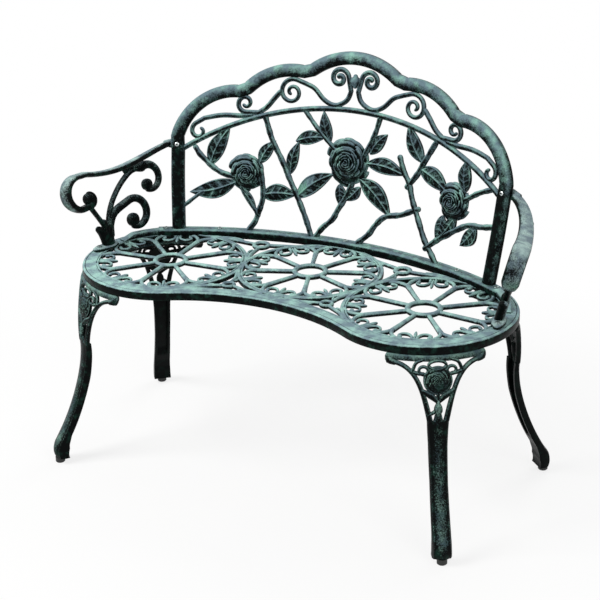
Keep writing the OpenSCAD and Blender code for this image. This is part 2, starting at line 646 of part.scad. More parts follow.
// A leg, with x outward from the hub. Its side view is turned about the hub, and cut to the
// pierced outline of its face.
module leg() {
    shin = concat(curve([[leg_top_r, skirt_z], [leg_top_r + 12, skirt_z - 24],
                         [knee_r + 2, knee_h + 55], [knee_r, knee_h]], 6),
                  curve([[knee_r, knee_h], [knee_r + 1, knee_h - 60],
                         [toe_r - 37, sole_z + 68], [toe_r, sole_z]], 12));
    deep = [[sole_z, toe_t], [sole_z + 30, shaft_t - 1], [knee_h, shaft_t], [skirt_z - 60, wing_t]];
    calf = [for (q = shin) [q[0] - lookup(q[1], deep), q[1]]];
    turn = asin(wing_w / leg_top_r) + 12;
    difference() {
        union() {
            intersection() {
                rotate(-turn) rotate_extrude(angle = 2 * turn, $fn = 120)
                    polygon(concat(shin, reversed(calf)));
                rotate([90, 0, 90]) linear_extrude(toe_r + 20) intersection() {
                    leg_face();
                    translate([-toe_r, 0]) square([2 * toe_r, skirt_z - 1]);
                }
            }
            translate([0, 0, skirt_z - pad_t]) rotate(-pad_bolt_turn - 6)
                rotate_extrude(angle = 2 * pad_bolt_turn + 12, $fn = 120)
                translate([end_open_r - 2, 0]) square([leg_top_r - end_open_r + 1.5, pad_t]);
            translate([leg_top_r + 13, 0, leg_rose_z]) rotate([0, 76, 0])
                rose(leg_rose_r, rose_h * 0.6);
        }
        intersection() {
            rotate(-20) rotate_extrude(angle = 40, $fn = 120)
                polygon(concat([for (q = shin) q - [leg_wall, 0]], reversed([for (q = calf) q - [20, 0]])));
            rotate([90, 0, 90]) linear_extrude(toe_r + 20) hollow_face();
        }
        at_pad_bolts() translate([0, 0, skirt_z - pad_t - 1])
            cylinder(d = leg_bolt_d + 2 * bolt_clear, h = pad_t + 2, $fn = 32);
        translate([glide_r, 0, sole_z - 1])
            cylinder(d = spigot_d + 2 * glide_gap, h = spigot_h + 2, $fn = 32);
    }
}

// Front view of the leg: rim bars run from the winged top down to the shaft, and the space between
// them holds a lens, two eyes, the rose's seat, a stem with its bud and the struts to the rims
module leg_face() {
    rim = concat([[wing_w - 3, skirt_z - 14]],
                 curve([[wing_w - 10, skirt_z - 17], [wing_w - 48, skirt_z - 24],
                        [28, skirt_z - 72], [shaft_w / 2 - 1, leg_open_z]], 9));
    shaft = [[shaft_w / 2 + 2.5, leg_open_z], [shaft_w / 2, leg_open_z - 50],
             [shaft_w / 2 - 1, knee_h - 110], [shaft_w / 2, sole_z + 40],
             [shaft_w / 2 + 1, sole_z]];
    offset(delta = -0.8) offset(delta = 0.8) {
        translate([-wing_w - 5, skirt_z - 10]) square([2 * wing_w + 10, 10]);
        polygon(concat(shaft, reversed(sided(shaft, -1))));
        translate([0, leg_rose_z]) circle(r = leg_rose_r - 2, $fn = 40);
        stroke([[0, leg_rose_z - 20], [0, leg_open_z - 4]], leg_bar_w * 0.9);
        translate([0, skirt_z - 100]) scale([0.8, 1]) circle(r = 10.5, $fn = 24);
        stroke([[-shaft_w / 2, skirt_z - 111], [0, skirt_z - 98]], leg_bar_w * 0.7);
        eye(0, skirt_z - 16, 14, 5.5);
        for (k = [-1, 1]) {
            stroke(sided(rim, k), leg_bar_w);
            translate([k * (wing_w + 1), skirt_z - 12]) circle(r = 9, $fn = 24);
            eye(k * 25, skirt_z - 26, 6.3, 5);
            stroke([[k * 27, skirt_z - 9], [k * 39, skirt_z - 15], [k * 46, skirt_z - 29]], leg_bar_w * 0.6);
            stroke([[k * 46, skirt_z - 30], [k * 27, skirt_z - 34]], leg_bar_w * 0.7);
            stroke([[k * 30, skirt_z - 68], [k * 12, skirt_z - 76], [0, skirt_z - 84]], leg_bar_w);
        }
    }
}

// An eye about [x, z] in the leg's face, w by h in the half sizes of its opening
module eye(x, z, w, h) {
    wall = leg_bar_w * 0.5;
    translate([x, z]) difference() {
        scale([1, (h + wall) / (w + wall)]) circle(r = w + wall, $fn = 32);
        scale([1, h / w]) circle(r = w, $fn = 24);
    }
}

// Outline of the channel in the back of the shaft
module hollow_face() {
    top = skirt_z - 155;
    low = sole_z + 75;
    half = shaft_w / 2 - leg_wall;
    polygon([[-half, low], [half, low], [half, top], [-half, top]]);
}

module leg_node(side, front) {
    color(DARK) translate([0, -mid_y, 0]) at_leg(side, front) leg();
}

module leg_front_left() { leg_node(-1, true); }
module leg_front_right() { leg_node(1, true); }
module leg_rear_left() { leg_node(-1, false); }
module leg_rear_right() { leg_node(1, false); }

module glide(side, front) {
    color(BLACK) translate([0, -mid_y, 0]) at_leg(side, front) translate([glide_r, 0, 0]) {
        rotate_extrude($fn = 48)
            polygon([[0, 0], [glide_d / 2 - 1.5, 0], [glide_d / 2, 1.5],
                     [glide_d / 2, glide_h], [0, glide_h]]);
        cylinder(d = spigot_d, h = glide_h + spigot_h, $fn = 32);
    }
}

module foot_glide_front_left() { glide(-1, true); }
module foot_glide_front_right() { glide(1, true); }
module foot_glide_rear_left() { glide(-1, false); }
module foot_glide_rear_right() { glide(1, false); }

// A bolt with a domed socket head on z = 0 and its shank below
module button_bolt(d, head_d, head_h, reach) {
    difference() {
        union() {
            rotate_extrude($fn = 48)
                polygon([[0, 0], [head_d / 2, 0], [head_d / 2, head_h * 0.3],
                         [head_d * 0.42, head_h * 0.75], [head_d * 0.25, head_h], [0, head_h]]);
            translate([0, 0, -reach]) cylinder(d = d, h = reach + 1, $fn = 32);
        }
        translate([0, 0, head_h * 0.4]) cylinder(d = d * 0.75, h = head_h, $fn = 6);
    }
}

module ring(inner, outer, h) {
    difference() {
        cylinder(d = outer, h = h, $fn = 48);
        translate([0, 0, -1]) cylinder(d = inner, h = h + 2, $fn = 32);
    }
}

module nut() {
    difference() {
        cylinder(d = nut_d, h = nut_h, $fn = 6);
        translate([0, 0, -1]) cylinder(d = bolt_d + 2 * thread_clear, h = nut_h + 2, $fn = 32);
    }
}

module back_rail_bolts() {
    color(STEEL) translate([0, -mid_y, seat_h + rail_h]) at_rail_bolts()
        button_bolt(bolt_d, button_d, button_h, rail_h + top_t + washer_t + nut_h + tail);
}

module back_rail_washers() {
    color(STEEL) translate([0, -mid_y, seat_h - top_t - washer_t]) at_rail_bolts()
        ring(bolt_d + 2 * bolt_clear, washer_d, washer_t);
}

module back_rail_nuts() {
    color(STEEL) translate([0, -mid_y, seat_h - top_t - washer_t - nut_h]) at_rail_bolts() nut();
}

module arm_post_bolts() {
    color(STEEL) translate([0, -mid_y, 0]) at_post_bolts() translate([0, 0, frame_t / 2])
        button_bolt(bolt_d, button_d, button_h, frame_t + ear_gap + ear_t + washer_t + nut_h + tail);
}

module arm_post_washers() {
    color(STEEL) translate([0, -mid_y, 0]) at_post_bolts()
        translate([0, 0, -frame_t / 2 - ear_gap - ear_t - washer_t])
        ring(bolt_d + 2 * bolt_clear, washer_d, washer_t);
}

module arm_post_nuts() {
    color(STEEL) translate([0, -mid_y, 0]) at_post_bolts()
        translate([0, 0, -frame_t / 2 - ear_gap - ear_t - washer_t - nut_h]) nut();
}

module arm_foot_bolts() {
    color(STEEL) translate([0, -mid_y, seat_h + foot_t]) at_arm_feet()
        button_bolt(bolt_d, button_d, button_h, foot_t + top_t + washer_t + nut_h + tail);
}

module arm_foot_washers() {
    color(STEEL) translate([0, -mid_y, seat_h - top_t - washer_t]) at_arm_feet()
        ring(bolt_d + 2 * bolt_clear, washer_d, washer_t);
}

module arm_foot_nuts() {
    color(STEEL) translate([0, -mid_y, seat_h - top_t - washer_t - nut_h]) at_arm_feet() nut();
}

module leg_bolts() {
    color(STEEL) translate([0, -mid_y, skirt_z - pad_t - washer_t]) at_every_leg() at_pad_bolts()
        mirror([0, 0, 1])
        button_bolt(leg_bolt_d, leg_head_d, leg_head_h, washer_t + pad_t + leg_bolt_reach);
}

module leg_washers() {
    color(STEEL) translate([0, -mid_y, skirt_z - pad_t - washer_t]) at_every_leg() at_pad_bolts()
        ring(leg_bolt_d + 2 * bolt_clear, leg_washer_d, washer_t);
}

seat();
backrest();
arm_left();
arm_right();
leg_front_left();
leg_front_right();
leg_rear_left();
leg_rear_right();
foot_glide_front_left();
foot_glide_front_right();
foot_glide_rear_left();
foot_glide_rear_right();
back_rail_bolts();
back_rail_washers();
back_rail_nuts();
arm_post_bolts();
arm_post_washers();
arm_post_nuts();
arm_foot_bolts();
arm_foot_washers();
arm_foot_nuts();
leg_bolts();
leg_washers();
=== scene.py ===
import bpy
import numpy as np
from mathutils import Matrix


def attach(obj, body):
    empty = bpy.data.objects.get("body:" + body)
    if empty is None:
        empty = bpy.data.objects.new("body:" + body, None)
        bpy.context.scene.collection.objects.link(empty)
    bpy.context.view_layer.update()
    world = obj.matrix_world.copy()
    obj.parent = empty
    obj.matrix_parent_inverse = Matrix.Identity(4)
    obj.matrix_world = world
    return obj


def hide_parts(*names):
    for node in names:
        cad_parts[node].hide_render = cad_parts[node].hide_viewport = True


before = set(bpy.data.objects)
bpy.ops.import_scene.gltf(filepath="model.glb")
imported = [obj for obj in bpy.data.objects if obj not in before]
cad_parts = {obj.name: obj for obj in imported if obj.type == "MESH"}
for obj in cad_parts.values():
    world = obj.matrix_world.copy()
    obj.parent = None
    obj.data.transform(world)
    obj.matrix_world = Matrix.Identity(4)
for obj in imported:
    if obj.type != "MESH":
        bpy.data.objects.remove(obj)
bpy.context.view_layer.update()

# Seat. One sand casting in aluminium: a kidney-shaped rim with a skirt under it, three
# ringed medallions of forked spokes, and curled fingers growing inward from the rings.
# The casting is painted near black and a pale verdigris is wiped over what stands proud.

# Sizes are in mm. x runs to the right as seen from the front and y to the rear, both from
# the middle of the line through the end hubs, and z runs up from the floor
seat_z = 404.0
hub_gap, hub_set = 293.0, 75.0      # the end hubs from the middle, and the middle hub set back
end_r, bay_r = 184.0, 400.0         # the round ends and the hollow front
back_r, rail_set = 803.0, 25.0      # the foot rail, and how far the rear edge lies behind it
skirt_h = 18.0
hub_r, spoke_w, spokes = 32.0, 10.0, 8
end_open_r, middle_open_r = 150.0, 139.0
# Each medallion's hub, the radius of its opening, and how far its spokes are turned
medallions = [(-hub_gap, 0.0, end_open_r, 4.5), (hub_gap, 0.0, end_open_r, -4.5),
              (0.0, hub_set, middle_open_r, 22.5)]
rear_r = back_r + rail_set
bend_y = -np.sqrt((rear_r - end_r) ** 2 - hub_gap ** 2)
bay_y = -np.sqrt((bay_r + end_r) ** 2 - hub_gap ** 2)
middle_y = 22.656                   # the middle of the bench's depth, the frame's own origin
cap_angles = np.radians([28, 55, 78])      # of a round end's three rings


def unit(v):
    """Each vector divided by its length."""
    return v / np.maximum(np.linalg.norm(v, axis=-1, keepdims=True), 1e-9)


def heading(path, closed=False):
    """Direction of travel at each point: from the point before it to the point after it."""
    if closed:
        return unit(np.roll(path, -1, 0) - np.roll(path, 1, 0))
    ahead = np.vstack([path[1:], path[-1:]])
    behind = np.vstack([path[:1], path[:-1]])
    return unit(ahead - behind)


def through(points, step=4.0):
    """A smooth curve through the points: on each stretch the cubic whose slopes at both ends
    are half the chord between their neighbours, with a point about every step."""
    p = np.asarray(points, float)
    p = np.vstack([2 * p[0] - p[1], p, 2 * p[-1] - p[-2]])
    out = []
    for a, b, c, d in zip(p[:-3], p[1:-2], p[2:-1], p[3:]):
        n = max(2, int(np.linalg.norm(c - b) / step))
        t = np.linspace(0, 1, n, endpoint=False)[:, None]
        out.append(0.5 * (2 * b + (c - a) * t + (2 * a - 5 * b + 4 * c - d) * t ** 2
                          + (3 * b - a - 3 * c + d) * t ** 3))
    return np.vstack(out + [p[-2:-1]])


def arc(centre, r, start, end, step=4.0):
    """Points of a circle about centre from angle start to angle end, in degrees."""
    n = max(3, int(abs(np.radians(end - start)) * r / step))
    a = np.radians(np.linspace(start, end, n))
    return np.column_stack([centre[0] + r * np.cos(a), centre[1] + r * np.sin(a)])


def carried(path, side, up, width, depth, section, closed=False, round_ends=False):
    """A section carried along a path. A ring's point is the path's point, plus its first
    number times half the width along side, plus its second times half the depth along up.
    The third number is how far the wiped paint takes there. A round end has three smaller
    rings that step out along a quarter circle. Returns rings, paint and closed."""
    n = len(path)
    width, depth = np.broadcast_to(width, n) / 2, np.broadcast_to(depth, n) / 2
    rings = (path[:, None] + side[:, None] * (section[None, :, :1] * width[:, None, None])
             + up[:, None] * (section[None, :, 1:2] * depth[:, None, None]))
    if round_ends:
        ahead = heading(path)
        first, last = ([path[end] + (rings[end] - path[end]) * np.cos(a)
                        + sign * ahead[end] * depth[end] * np.sin(a) for a in cap_angles]
                       for end, sign in ((0, -1), (-1, 1)))
        rings = np.concatenate([first[::-1], rings, last])
    return rings, np.broadcast_to(section[:, 2], rings.shape[:2]), closed


def oval(n=14, flat=0.0):
    """A round section, squared off as flat grows, whose upper half takes the wiped paint."""
    a = 2 * np.pi * (np.arange(n) + 0.5) / n
    x, y = np.cos(a), np.sin(a)
    k = 1 - flat * 0.5
    return np.column_stack([np.sign(x) * np.abs(x) ** k, np.sign(y) * np.abs(y) ** k,
                            np.clip(0.25 + 0.9 * y, 0, 1)])


def fan_volume(corners):
    """Six times the volume between the origin and faces that fan out from a first corner."""
    return (corners[:, :1] * np.cross(corners[:, 1:-1], corners[:, 2:])).sum()


def casting(name, shells, angle=38):
    """One mesh from shells of rings. Neighbouring rings are joined by quads, an open shell's
    first and last rings are closed by a face, and a shell with negative volume is reversed.
    An edge sharper than angle stays sharp. Millimetres become the frame's metres here."""
    verts, paints, loops, sizes, base = [], [], [], [], 0
    for rings, paint, closed in shells:
        n, m = rings.shape[:2]
        i, j = np.meshgrid(np.arange(n if closed else n - 1), np.arange(m), indexing="ij")
        next_i, next_j = (i + 1) % n, (j + 1) % m
        quads = np.stack([i * m + j, next_i * m + j, next_i * m + next_j, i * m + next_j], -1)
        quads = quads.reshape(-1, 4)
        flat = rings.reshape(-1, 3)
        caps = [] if closed else [np.arange(m), (n - 1) * m + np.arange(m)[::-1]]
        volume = fan_volume(flat[quads]) + sum(fan_volume(flat[c][None]) for c in caps)
        turn = -1 if volume < 0 else 1
        verts.append(flat)
        paints.append(paint.reshape(-1))
        loops.append((quads[:, ::turn] + base).reshape(-1))
        sizes.append(np.full(len(quads), 4))
        for c in caps:
            loops.append(c[::turn] + base)
            sizes.append(np.array([m]))
        base += n * m
    verts, loops, sizes = np.concatenate(verts), np.concatenate(loops), np.concatenate(sizes)
    verts = (verts - [0, middle_y, 0]) / 1000
    mesh = bpy.data.meshes.new(name)
    mesh.vertices.add(len(verts))
    mesh.vertices.foreach_set("co", verts.astype(np.float32).ravel())
    mesh.loops.add(len(loops))
    mesh.loops.foreach_set("vertex_index", loops.astype(np.int32))
    mesh.polygons.add(len(sizes))
    starts = np.concatenate([[0], np.cumsum(sizes)[:-1]])
    mesh.polygons.foreach_set("loop_start", starts.astype(np.int32))
    mesh.polygons.foreach_set("use_smooth", np.ones(len(sizes), bool))
    mesh.update(calc_edges=True)
    mesh.set_sharp_from_angle(angle=np.radians(angle))
    wiped = mesh.attributes.new("wiped", "FLOAT", "POINT")
    wiped.data.foreach_set("value", np.concatenate(paints).astype(np.float32))
    piece = bpy.data.objects.new(name, mesh)
    bpy.context.scene.collection.objects.link(piece)
    return piece


def linear(code):
    """An sRGB hex colour as linear red, green, blue and a full alpha."""
    c = np.array([int(code[i:i + 2], 16) for i in (1, 3, 5)]) / 255
    return tuple(np.where(c <= 0.04045, c / 12.92, ((c + 0.055) / 1.055) ** 2.4)) + (1.0,)


def add(tree, kind, settings=(), **inputs):
    """Adds a node with its settings, and gives each input a value or another node's output.
    An input goes by its name, or by its place, as _0 or _6, where several share a name."""
    made = tree.nodes.new(kind)
    for key, value in dict(settings).items():
        setattr(made, key, value)
    for key, value in inputs.items():
        socket = made.inputs[int(key[1:]) if key[1:].isdigit() else key.replace("_", " ")]
        if isinstance(value, bpy.types.NodeSocket):
            tree.links.new(value, socket)
        else:
            socket.default_value = value
    return made


def emptied(owner):
    """Turns on the node tree of a material or world, and empties it."""
    owner.use_nodes = True
    owner.node_tree.nodes.clear()
    return owner.node_tree


def wiped_paint_and_highlight(name, cover, tinge="#15332a", slate="#6f818a", mint="#a9c4bf", grit=0.8,
                drift=0.8, tint_from=0.40):
    """Near black powder paint on cast aluminium, with verdigris wiped over it. The pale
    paint takes where the casting stands proud and where it faces up, which is partly
    wiping and partly a painted highlight of the light from above; it breaks up over the
    grain, and drifts between slate and mint from hand to hand. The grain is that of
    moulding sand, drawn 2.4 mm wide so that it shows; the wiping cloth's streaks are 17 mm
    wide and the drifts of tint 26 mm. The black takes a green tinge in places. As the
    wiped attribute passes 1 the pale paint turns fresh green."""
    sand_scale, streak_scale, tint_scale = 420.0, 60.0, 38.0      # lumps in a metre
    upward_wipe_and_highlight_share, proud_share, edge_soft, tint_soft = 0.62, 0.75, 0.5, 0.24
    black, fresh_green, shine, dulling = "#040707", "#5fa57c", 0.36, 0.16
    material = bpy.data.materials.new(name)
    tree = emptied(material)
    place = add(tree, "ShaderNodeTexCoord").outputs["Object"]
    sand = add(tree, "ShaderNodeTexNoise", Vector=place, Scale=sand_scale, Detail=3.0,
               Roughness=0.6).outputs["Fac"]
    streak = add(tree, "ShaderNodeTexNoise", Vector=place, Scale=streak_scale, Detail=4.0,
                 Roughness=0.65).outputs["Fac"]
    cloud = add(tree, "ShaderNodeTexNoise", Vector=place, Scale=tint_scale, Detail=4.0,
                Roughness=0.6).outputs["Fac"]
    # How far the pale paint takes is the sum of facing up, standing proud, grain and streaks.
    # Facing up is partly wiping and partly a painted highlight of the light from above
    facing = add(tree, "ShaderNodeNewGeometry").outputs["Normal"]
    upward_wipe_and_highlight = add(tree, "ShaderNodeSeparateXYZ", Vector=facing).outputs["Z"]
    upward_wipe_and_highlight = add(tree, "ShaderNodeMapRange", Value=upward_wipe_and_highlight, From_Min=-0.1, From_Max=0.95,
                 To_Min=0.0, To_Max=upward_wipe_and_highlight_share).outputs["Result"]
    wiped = add(tree, "ShaderNodeAttribute", {"attribute_name": "wiped"}).outputs["Fac"]
    proud = add(tree, "ShaderNodeMath", {"operation": "MINIMUM"}, _0=wiped, _1=1.0).outputs[0]
    green = add(tree, "ShaderNodeMath", {"operation": "SUBTRACT", "use_clamp": True},
                _0=wiped, _1=1.0).outputs[0]
    taken = upward_wipe_and_highlight
    for part, share in ((proud, proud_share), (sand, grit), (streak, drift)):
        taken = add(tree, "ShaderNodeMath", {"operation": "MULTIPLY_ADD"}, _0=part, _1=share,
                    _2=taken).outputs[0]
    level = 1.0 + (grit + drift) / 2 - cover
    taken = add(tree, "ShaderNodeMapRange", Value=taken, From_Min=level,
                From_Max=level + edge_soft).outputs["Result"]
    # The pale paint's own colour, the dark paint's, and one over the other
    tint = add(tree, "ShaderNodeMapRange", Value=cloud, From_Min=tint_from,
               From_Max=tint_from + tint_soft).outputs["Result"]
    pale = add(tree, "ShaderNodeMix", {"data_type": "RGBA"}, Factor=tint, _6=linear(slate),
               _7=linear(mint)).outputs[2]
    pale = add(tree, "ShaderNodeMix", {"data_type": "RGBA"}, Factor=green, _6=pale,
               _7=linear(fresh_green)).outputs[2]
    patchy = add(tree, "ShaderNodeMapRange", Value=streak, From_Min=0.50,
                 From_Max=0.72).outputs["Result"]
    ground = add(tree, "ShaderNodeMix", {"data_type": "RGBA"}, Factor=patchy, _6=linear(black),
                 _7=linear(tinge)).outputs[2]
    colour = add(tree, "ShaderNodeMix", {"data_type": "RGBA"}, Factor=taken, _6=ground,
                 _7=pale).outputs[2]
    dull = add(tree, "ShaderNodeMapRange", Value=taken, To_Min=shine,
               To_Max=shine + dulling).outputs["Result"]
    relief = add(tree, "ShaderNodeBump", Strength=0.55, Distance=0.0006, Height=sand)
    shader = add(tree, "ShaderNodeBsdfPrincipled", Base_Color=colour, Roughness=dull,
                 Normal=relief.outputs["Normal"], Specular_IOR_Level=0.05)
    add(tree, "ShaderNodeOutputMaterial", Surface=shader.outputs["BSDF"])
    return material


seat_paint = wiped_paint_and_highlight("verdigris wiped over black powder paint, seat", cover=0.60,
                         slate="#7a919a", mint="#a6cfc6", grit=1.0)


def flat_bar(plan, width, depth, z, section, closed=False, round_ends=False):
    """A level bar: a path in plan at height z, with its depth upright."""
    path = np.column_stack([plan, np.full(len(plan), z)])
    up = np.tile([0.0, 0.0, 1.0], (len(path), 1))
    side = unit(np.cross(up, heading(path, closed)))
    return carried(path, side, up, width, depth, section, closed, round_ends)


def band(plan, section, z, closed=True):
    """A band whose section is given in real sizes: outward from a path, height, and paint."""
    path = np.column_stack([plan, np.full(len(plan), z)])
    out = heading(path, closed)[:, [1, 0, 2]] * [1, -1, 0]
    rings = path[:, None] + out[:, None] * section[None, :, :1]
    rings[:, :, 2] += section[None, :, 1]
    return rings, np.broadcast_to(section[:, 2], rings.shape[:2]), closed


def turned(plan, centre, degrees):
    """Points turned about the origin by an angle and moved to centre."""
    a = np.radians(degrees)
    return plan @ np.array([[np.cos(a), np.sin(a)], [-np.sin(a), np.cos(a)]]) + centre


def rim_plan():
    """The seat's outline: the hollow front arc, the right end, the rear arc that both ends
    run into, and the left end."""
    meet_rear = np.degrees(np.arctan2(-bend_y, hub_gap))
    meet_front = np.degrees(np.arctan2(bay_y, -hub_gap))
    front = arc((0, bay_y), bay_r, -meet_front, 180 + meet_front, 5)
    right = arc((hub_gap, 0), end_r, meet_front, meet_rear, 5)
    rear = arc((0, bend_y), rear_r, meet_rear, 180 - meet_rear, 6)
    left = right[::-1] * [-1, 1]
    return np.vstack([front[1:-1], right, rear[1:-1], left])


# Sections of the rim with its two grooves and its skirt, and of a medallion's ring, as
# [outward, height over the seat's top, paint]
rim_section = np.array([
    [-0.6, -18, 0], [0, -17, 0], [0, -3.2, 0.1], [-0.8, -1.2, 0.8], [-2.4, -0.1, 0.9],
    [-5.0, 0.3, 0.5], [-5.9, -1.2, 0], [-6.8, 0.3, 0.5], [-15, 0.6, 0.6], [-23, 0.2, 0.5],
    [-24.2, -1.2, 0], [-25.2, 0.1, 0.8], [-28.8, -0.4, 0.8], [-30, -1.8, 0.3], [-30, -8.2, 0],
    [-29, -9, 0], [-6, -9, 0], [-6, -17.4, 0], [-5.4, -18, 0]])
ring_section = np.array([
    [0, -8.4, 0], [0, -0.4, 0.3], [0.6, 1.1, 1], [1.8, 1.6, 1], [3.0, 1.1, 0.9],
    [4.2, -1.0, 0], [5.2, 0.4, 0.4], [8.5, 0.6, 0.5], [11, 0.2, 0.6], [12, -1.2, 0.2],
    [12, -8.4, 0]])
seat_shells = [band(rim_plan(), rim_section, seat_z)]


def seat_bar(plan, width, depth, sunk, section, **ends):
    """Adds a bar of the seat's tracery, whose middle lies sunk under the seat's top."""
    seat_shells.append(flat_bar(plan, width, depth, seat_z - sunk, section, **ends))


for number, (hx, hy, open_r, turn) in enumerate(medallions):
    # Where two rings cross, each lies a quarter of a millimetre under the one before it
    hub, ring_z = (hx, hy), seat_z - 0.25 * number
    seat_shells.append(band(arc(hub, open_r, 0, 360)[:-1], ring_section, ring_z))
    seat_bar(arc(hub, hub_r, 0, 360)[:-1], 10.5, 11, 3.2, oval(12, 0.3), closed=True)
    # Drawn along x: a spoke and one branch of its fork, and, for midway between spokes, a
    # curled finger, the bead in its curl, and a bud
    fork_r = open_r * 0.25
    reach = np.linspace(hub_r + 2, open_r - fork_r + 6, 22)
    spoke = np.column_stack([reach, 0 * reach])
    spoke_swell = spoke_w * (0.92 + 0.28 * ((reach - reach[0]) / np.ptp(reach)) ** 3)
    fork = arc((open_r - fork_r, fork_r), fork_r, -98, 2, 2.5)
    curl = through([[open_r + 3, 6], [open_r - 8, 5], [open_r - 19, 7], [open_r - 27, 14],
                    [open_r - 28, 24], [open_r - 21, 31], [open_r - 13, 30]], 2)
    bead = np.array([[open_r - 14.5, 27.5], [open_r - 12, 27]])
    bud = through([[open_r + 3, 0], [open_r - 12, 0], [open_r - 24, 0], [open_r - 36, 0]], 2.5)
    bud_swell = 3.6 + 3.4 * np.sin(np.pi * np.linspace(0.2, 0.98, len(bud)) ** 3)
    for i in range(spokes):
        step = turn + i * 360 / spokes
        between = step + 180 / spokes
        seat_bar(turned(spoke, hub, step), spoke_swell, 10.5, 3.9, oval())
        for k in (-1, 1):
            seat_bar(turned(fork * [1, k], hub, step), np.linspace(7.6, 8.4, len(fork)), 10, 4,
                     oval())
            seat_bar(turned(curl * [1, k], hub, between), np.linspace(6.5, 4.2, len(curl)),
                     np.linspace(8.5, 7, len(curl)), 4.4, oval(12), round_ends=True)
            seat_bar(turned(bead * [1, k], hub, between), 7, 8, 3.8, oval(12), round_ends=True)
        seat_bar(turned(bud, hub, between), bud_swell, bud_swell + 2, 4, oval(12),
                 round_ends=True)

# The open scrolls that fill the corners between the rings and the rim: an eye on three
# stems, each with a short frond. Given are an eye's place and radius and its stems' far ends
scrolls = (((112, -62), 15, ((132, 4), (25, -75), (180, -114))),
           ((168, 163), 20, ((150, 74), (20, 224), (315, 160))))
# The lip on each end of the seat goes on from the foot rail, on the end's own centre
lip_r, lip_from, lip_to = 159.0, 16.0, 51.0
lip_section = np.array([[8.4, -1, 0], [8.4, 10, 0.4], [7.2, 12.3, 0.9], [4, 13, 0.9],
                        [-4, 13, 0.9], [-7.2, 12.3, 0.9], [-8.4, 10, 0.4], [-8.4, -1, 0]])
for k in (-1, 1):
    for centre, r, corners in scrolls:
        ring = arc(centre, 0.775 * r, 0, 360, 2.5)[:-1]
        seat_bar(ring * [k, 1], 0.45 * r, 10, 3.9, oval(12), closed=True)
        for corner in corners:
            way = np.subtract(corner, centre) / np.hypot(*np.subtract(corner, centre))
            across = np.array([-way[1], way[0]])
            foot = np.add(centre, way * 0.8 * r)
            long = np.hypot(*np.subtract(corner, foot))
            stem = through([foot, foot + way * long * 0.5 + across * 4, corner], 3)
            seat_bar(stem * [k, 1], np.linspace(7, 9.5, len(stem)), 9.5, 4.3, oval(12))
            frond = through([foot + way * long * share + across * off
                             for share, off in ((0.85, 3), (0.62, 9), (0.40, 13), (0.26, 9))], 2.2)
            seat_bar(frond * [k, 1], np.linspace(6, 4.5, len(frond)), 8, 4.3, oval(12),
                     round_ends=True)
    rings, paint, closed = band(arc((hub_gap, 0), lip_r, lip_from, lip_to, 3), lip_section,
                                seat_z, closed=False)
    risen = np.interp(np.arange(len(rings)), [0, 9], [0.25, 1])[:, None]
    rings[:, :, 2] = seat_z + (rings[:, :, 2] - seat_z) * risen
    seat_shells.append((rings * [k, 1, 1], paint, closed))
seat_top = casting("seat_casting", seat_shells)
seat_top.data.materials.append(seat_paint)
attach(seat_top, "root")
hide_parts("seat")

# Backrest. One casting, drawn flat and bent: posts and scalloped rail, an inner arc, paired
# scrolls between them, and a trellis of pruned rose branches with leaves and open roses.
# It stands on a curved foot rail that is bolted down through the seat.

# Places are [distance round the back from its middle, height]
back_top_r, back_lean = 1100.0, np.radians(8.5)
rail_h, frame_w, frame_t = 12.0, 26.0, 15.0
post_s, post_flare, post_z = 379.0, 14.0, seat_z + 208
arc_z, arc_foot_z, arc_w = seat_z + 287, seat_z + 182, 12.0
crown_h = 394.0
crown_z = seat_z + crown_h
valley_in = np.array([108.0, seat_z + 354])
valley_out = np.array([250.0, seat_z + 305])
rail_top = seat_z + rail_h
scroll_w, branch_w = 9.8, 12.4
sag = arc_z - arc_foot_z
arc_r = (post_s ** 2 + sag ** 2) / (2 * sag)


def sheet(s, z):
    """The back's middle surface: a cone about an upright axis, opening upward, whose middle
    line leans to the rear; s is measured round it and z is height."""
    r = back_r + (back_top_r - back_r) * (z - seat_z) / crown_h
    return np.stack([r * np.sin(s / r),
                     bend_y + back_r + (z - seat_z) * np.tan(back_lean) - r * (1 - np.cos(s / r)),
                     z + 0 * s], -1)


def sheet_normal(s, z):
    """The direction to the rear, square to that surface."""
    return unit(np.cross(sheet(s, z + 1) - sheet(s, z - 1), sheet(s + 1, z) - sheet(s - 1, z)))


def arc_at(s):
    """Height of the inner arc at distance s."""
    return arc_z - arc_r + np.sqrt(arc_r ** 2 - s ** 2)


def bulge(p, q, h, step=5.0):
    """Points of the circle's arc that rises by h over the chord from p to q."""
    p, q = np.asarray(p, float), np.asarray(q, float)
    c = np.linalg.norm(q - p) / 2
    r = (c * c + h * h) / (2 * h)
    a = np.arcsin(c / r)
    u = (q - p) / (2 * c)
    v = np.array([-u[1], u[0]])
    b = np.linspace(-a, a, max(6, int(2 * c / step)))[:, None]
    return (p + q) / 2 + u * r * np.sin(b) + v * (r * np.cos(b) - r + h)


def coil(centre, r0, r1, start, end, step=3.0):
    """A spiral about centre whose radius runs evenly from r0 to r1 over the angle."""
    n = max(6, int(abs(np.radians(end - start)) * max(r0, r1) / step))
    a, r = np.radians(np.linspace(start, end, n)), np.linspace(r0, r1, n)
    return np.column_stack([centre[0] + r * np.cos(a), centre[1] + r * np.sin(a)])


def back_bar(plan, width, depth, section, round_ends=False, rear=0.0):
    """A bar of the back along [s, z] points; rear moves it back from the middle surface."""
    plan = np.asarray(plan, float)
    s, z = plan[:, 0], plan[:, 1]
    normal = sheet_normal(s, z)
    path = sheet(s, z) + normal * rear
    side = unit(np.cross(normal, heading(path)))
    up = unit(np.cross(heading(path), side))
    return carried(path, side, -up, width, depth, section, round_ends=round_ends)


def clear_of(points, places, gap=9.0):
    """The points that lie further than gap from each place, so that a crease is eased."""
    far = np.min([np.hypot(*(points - p).T) for p in places], 0) > gap
    return points[far]


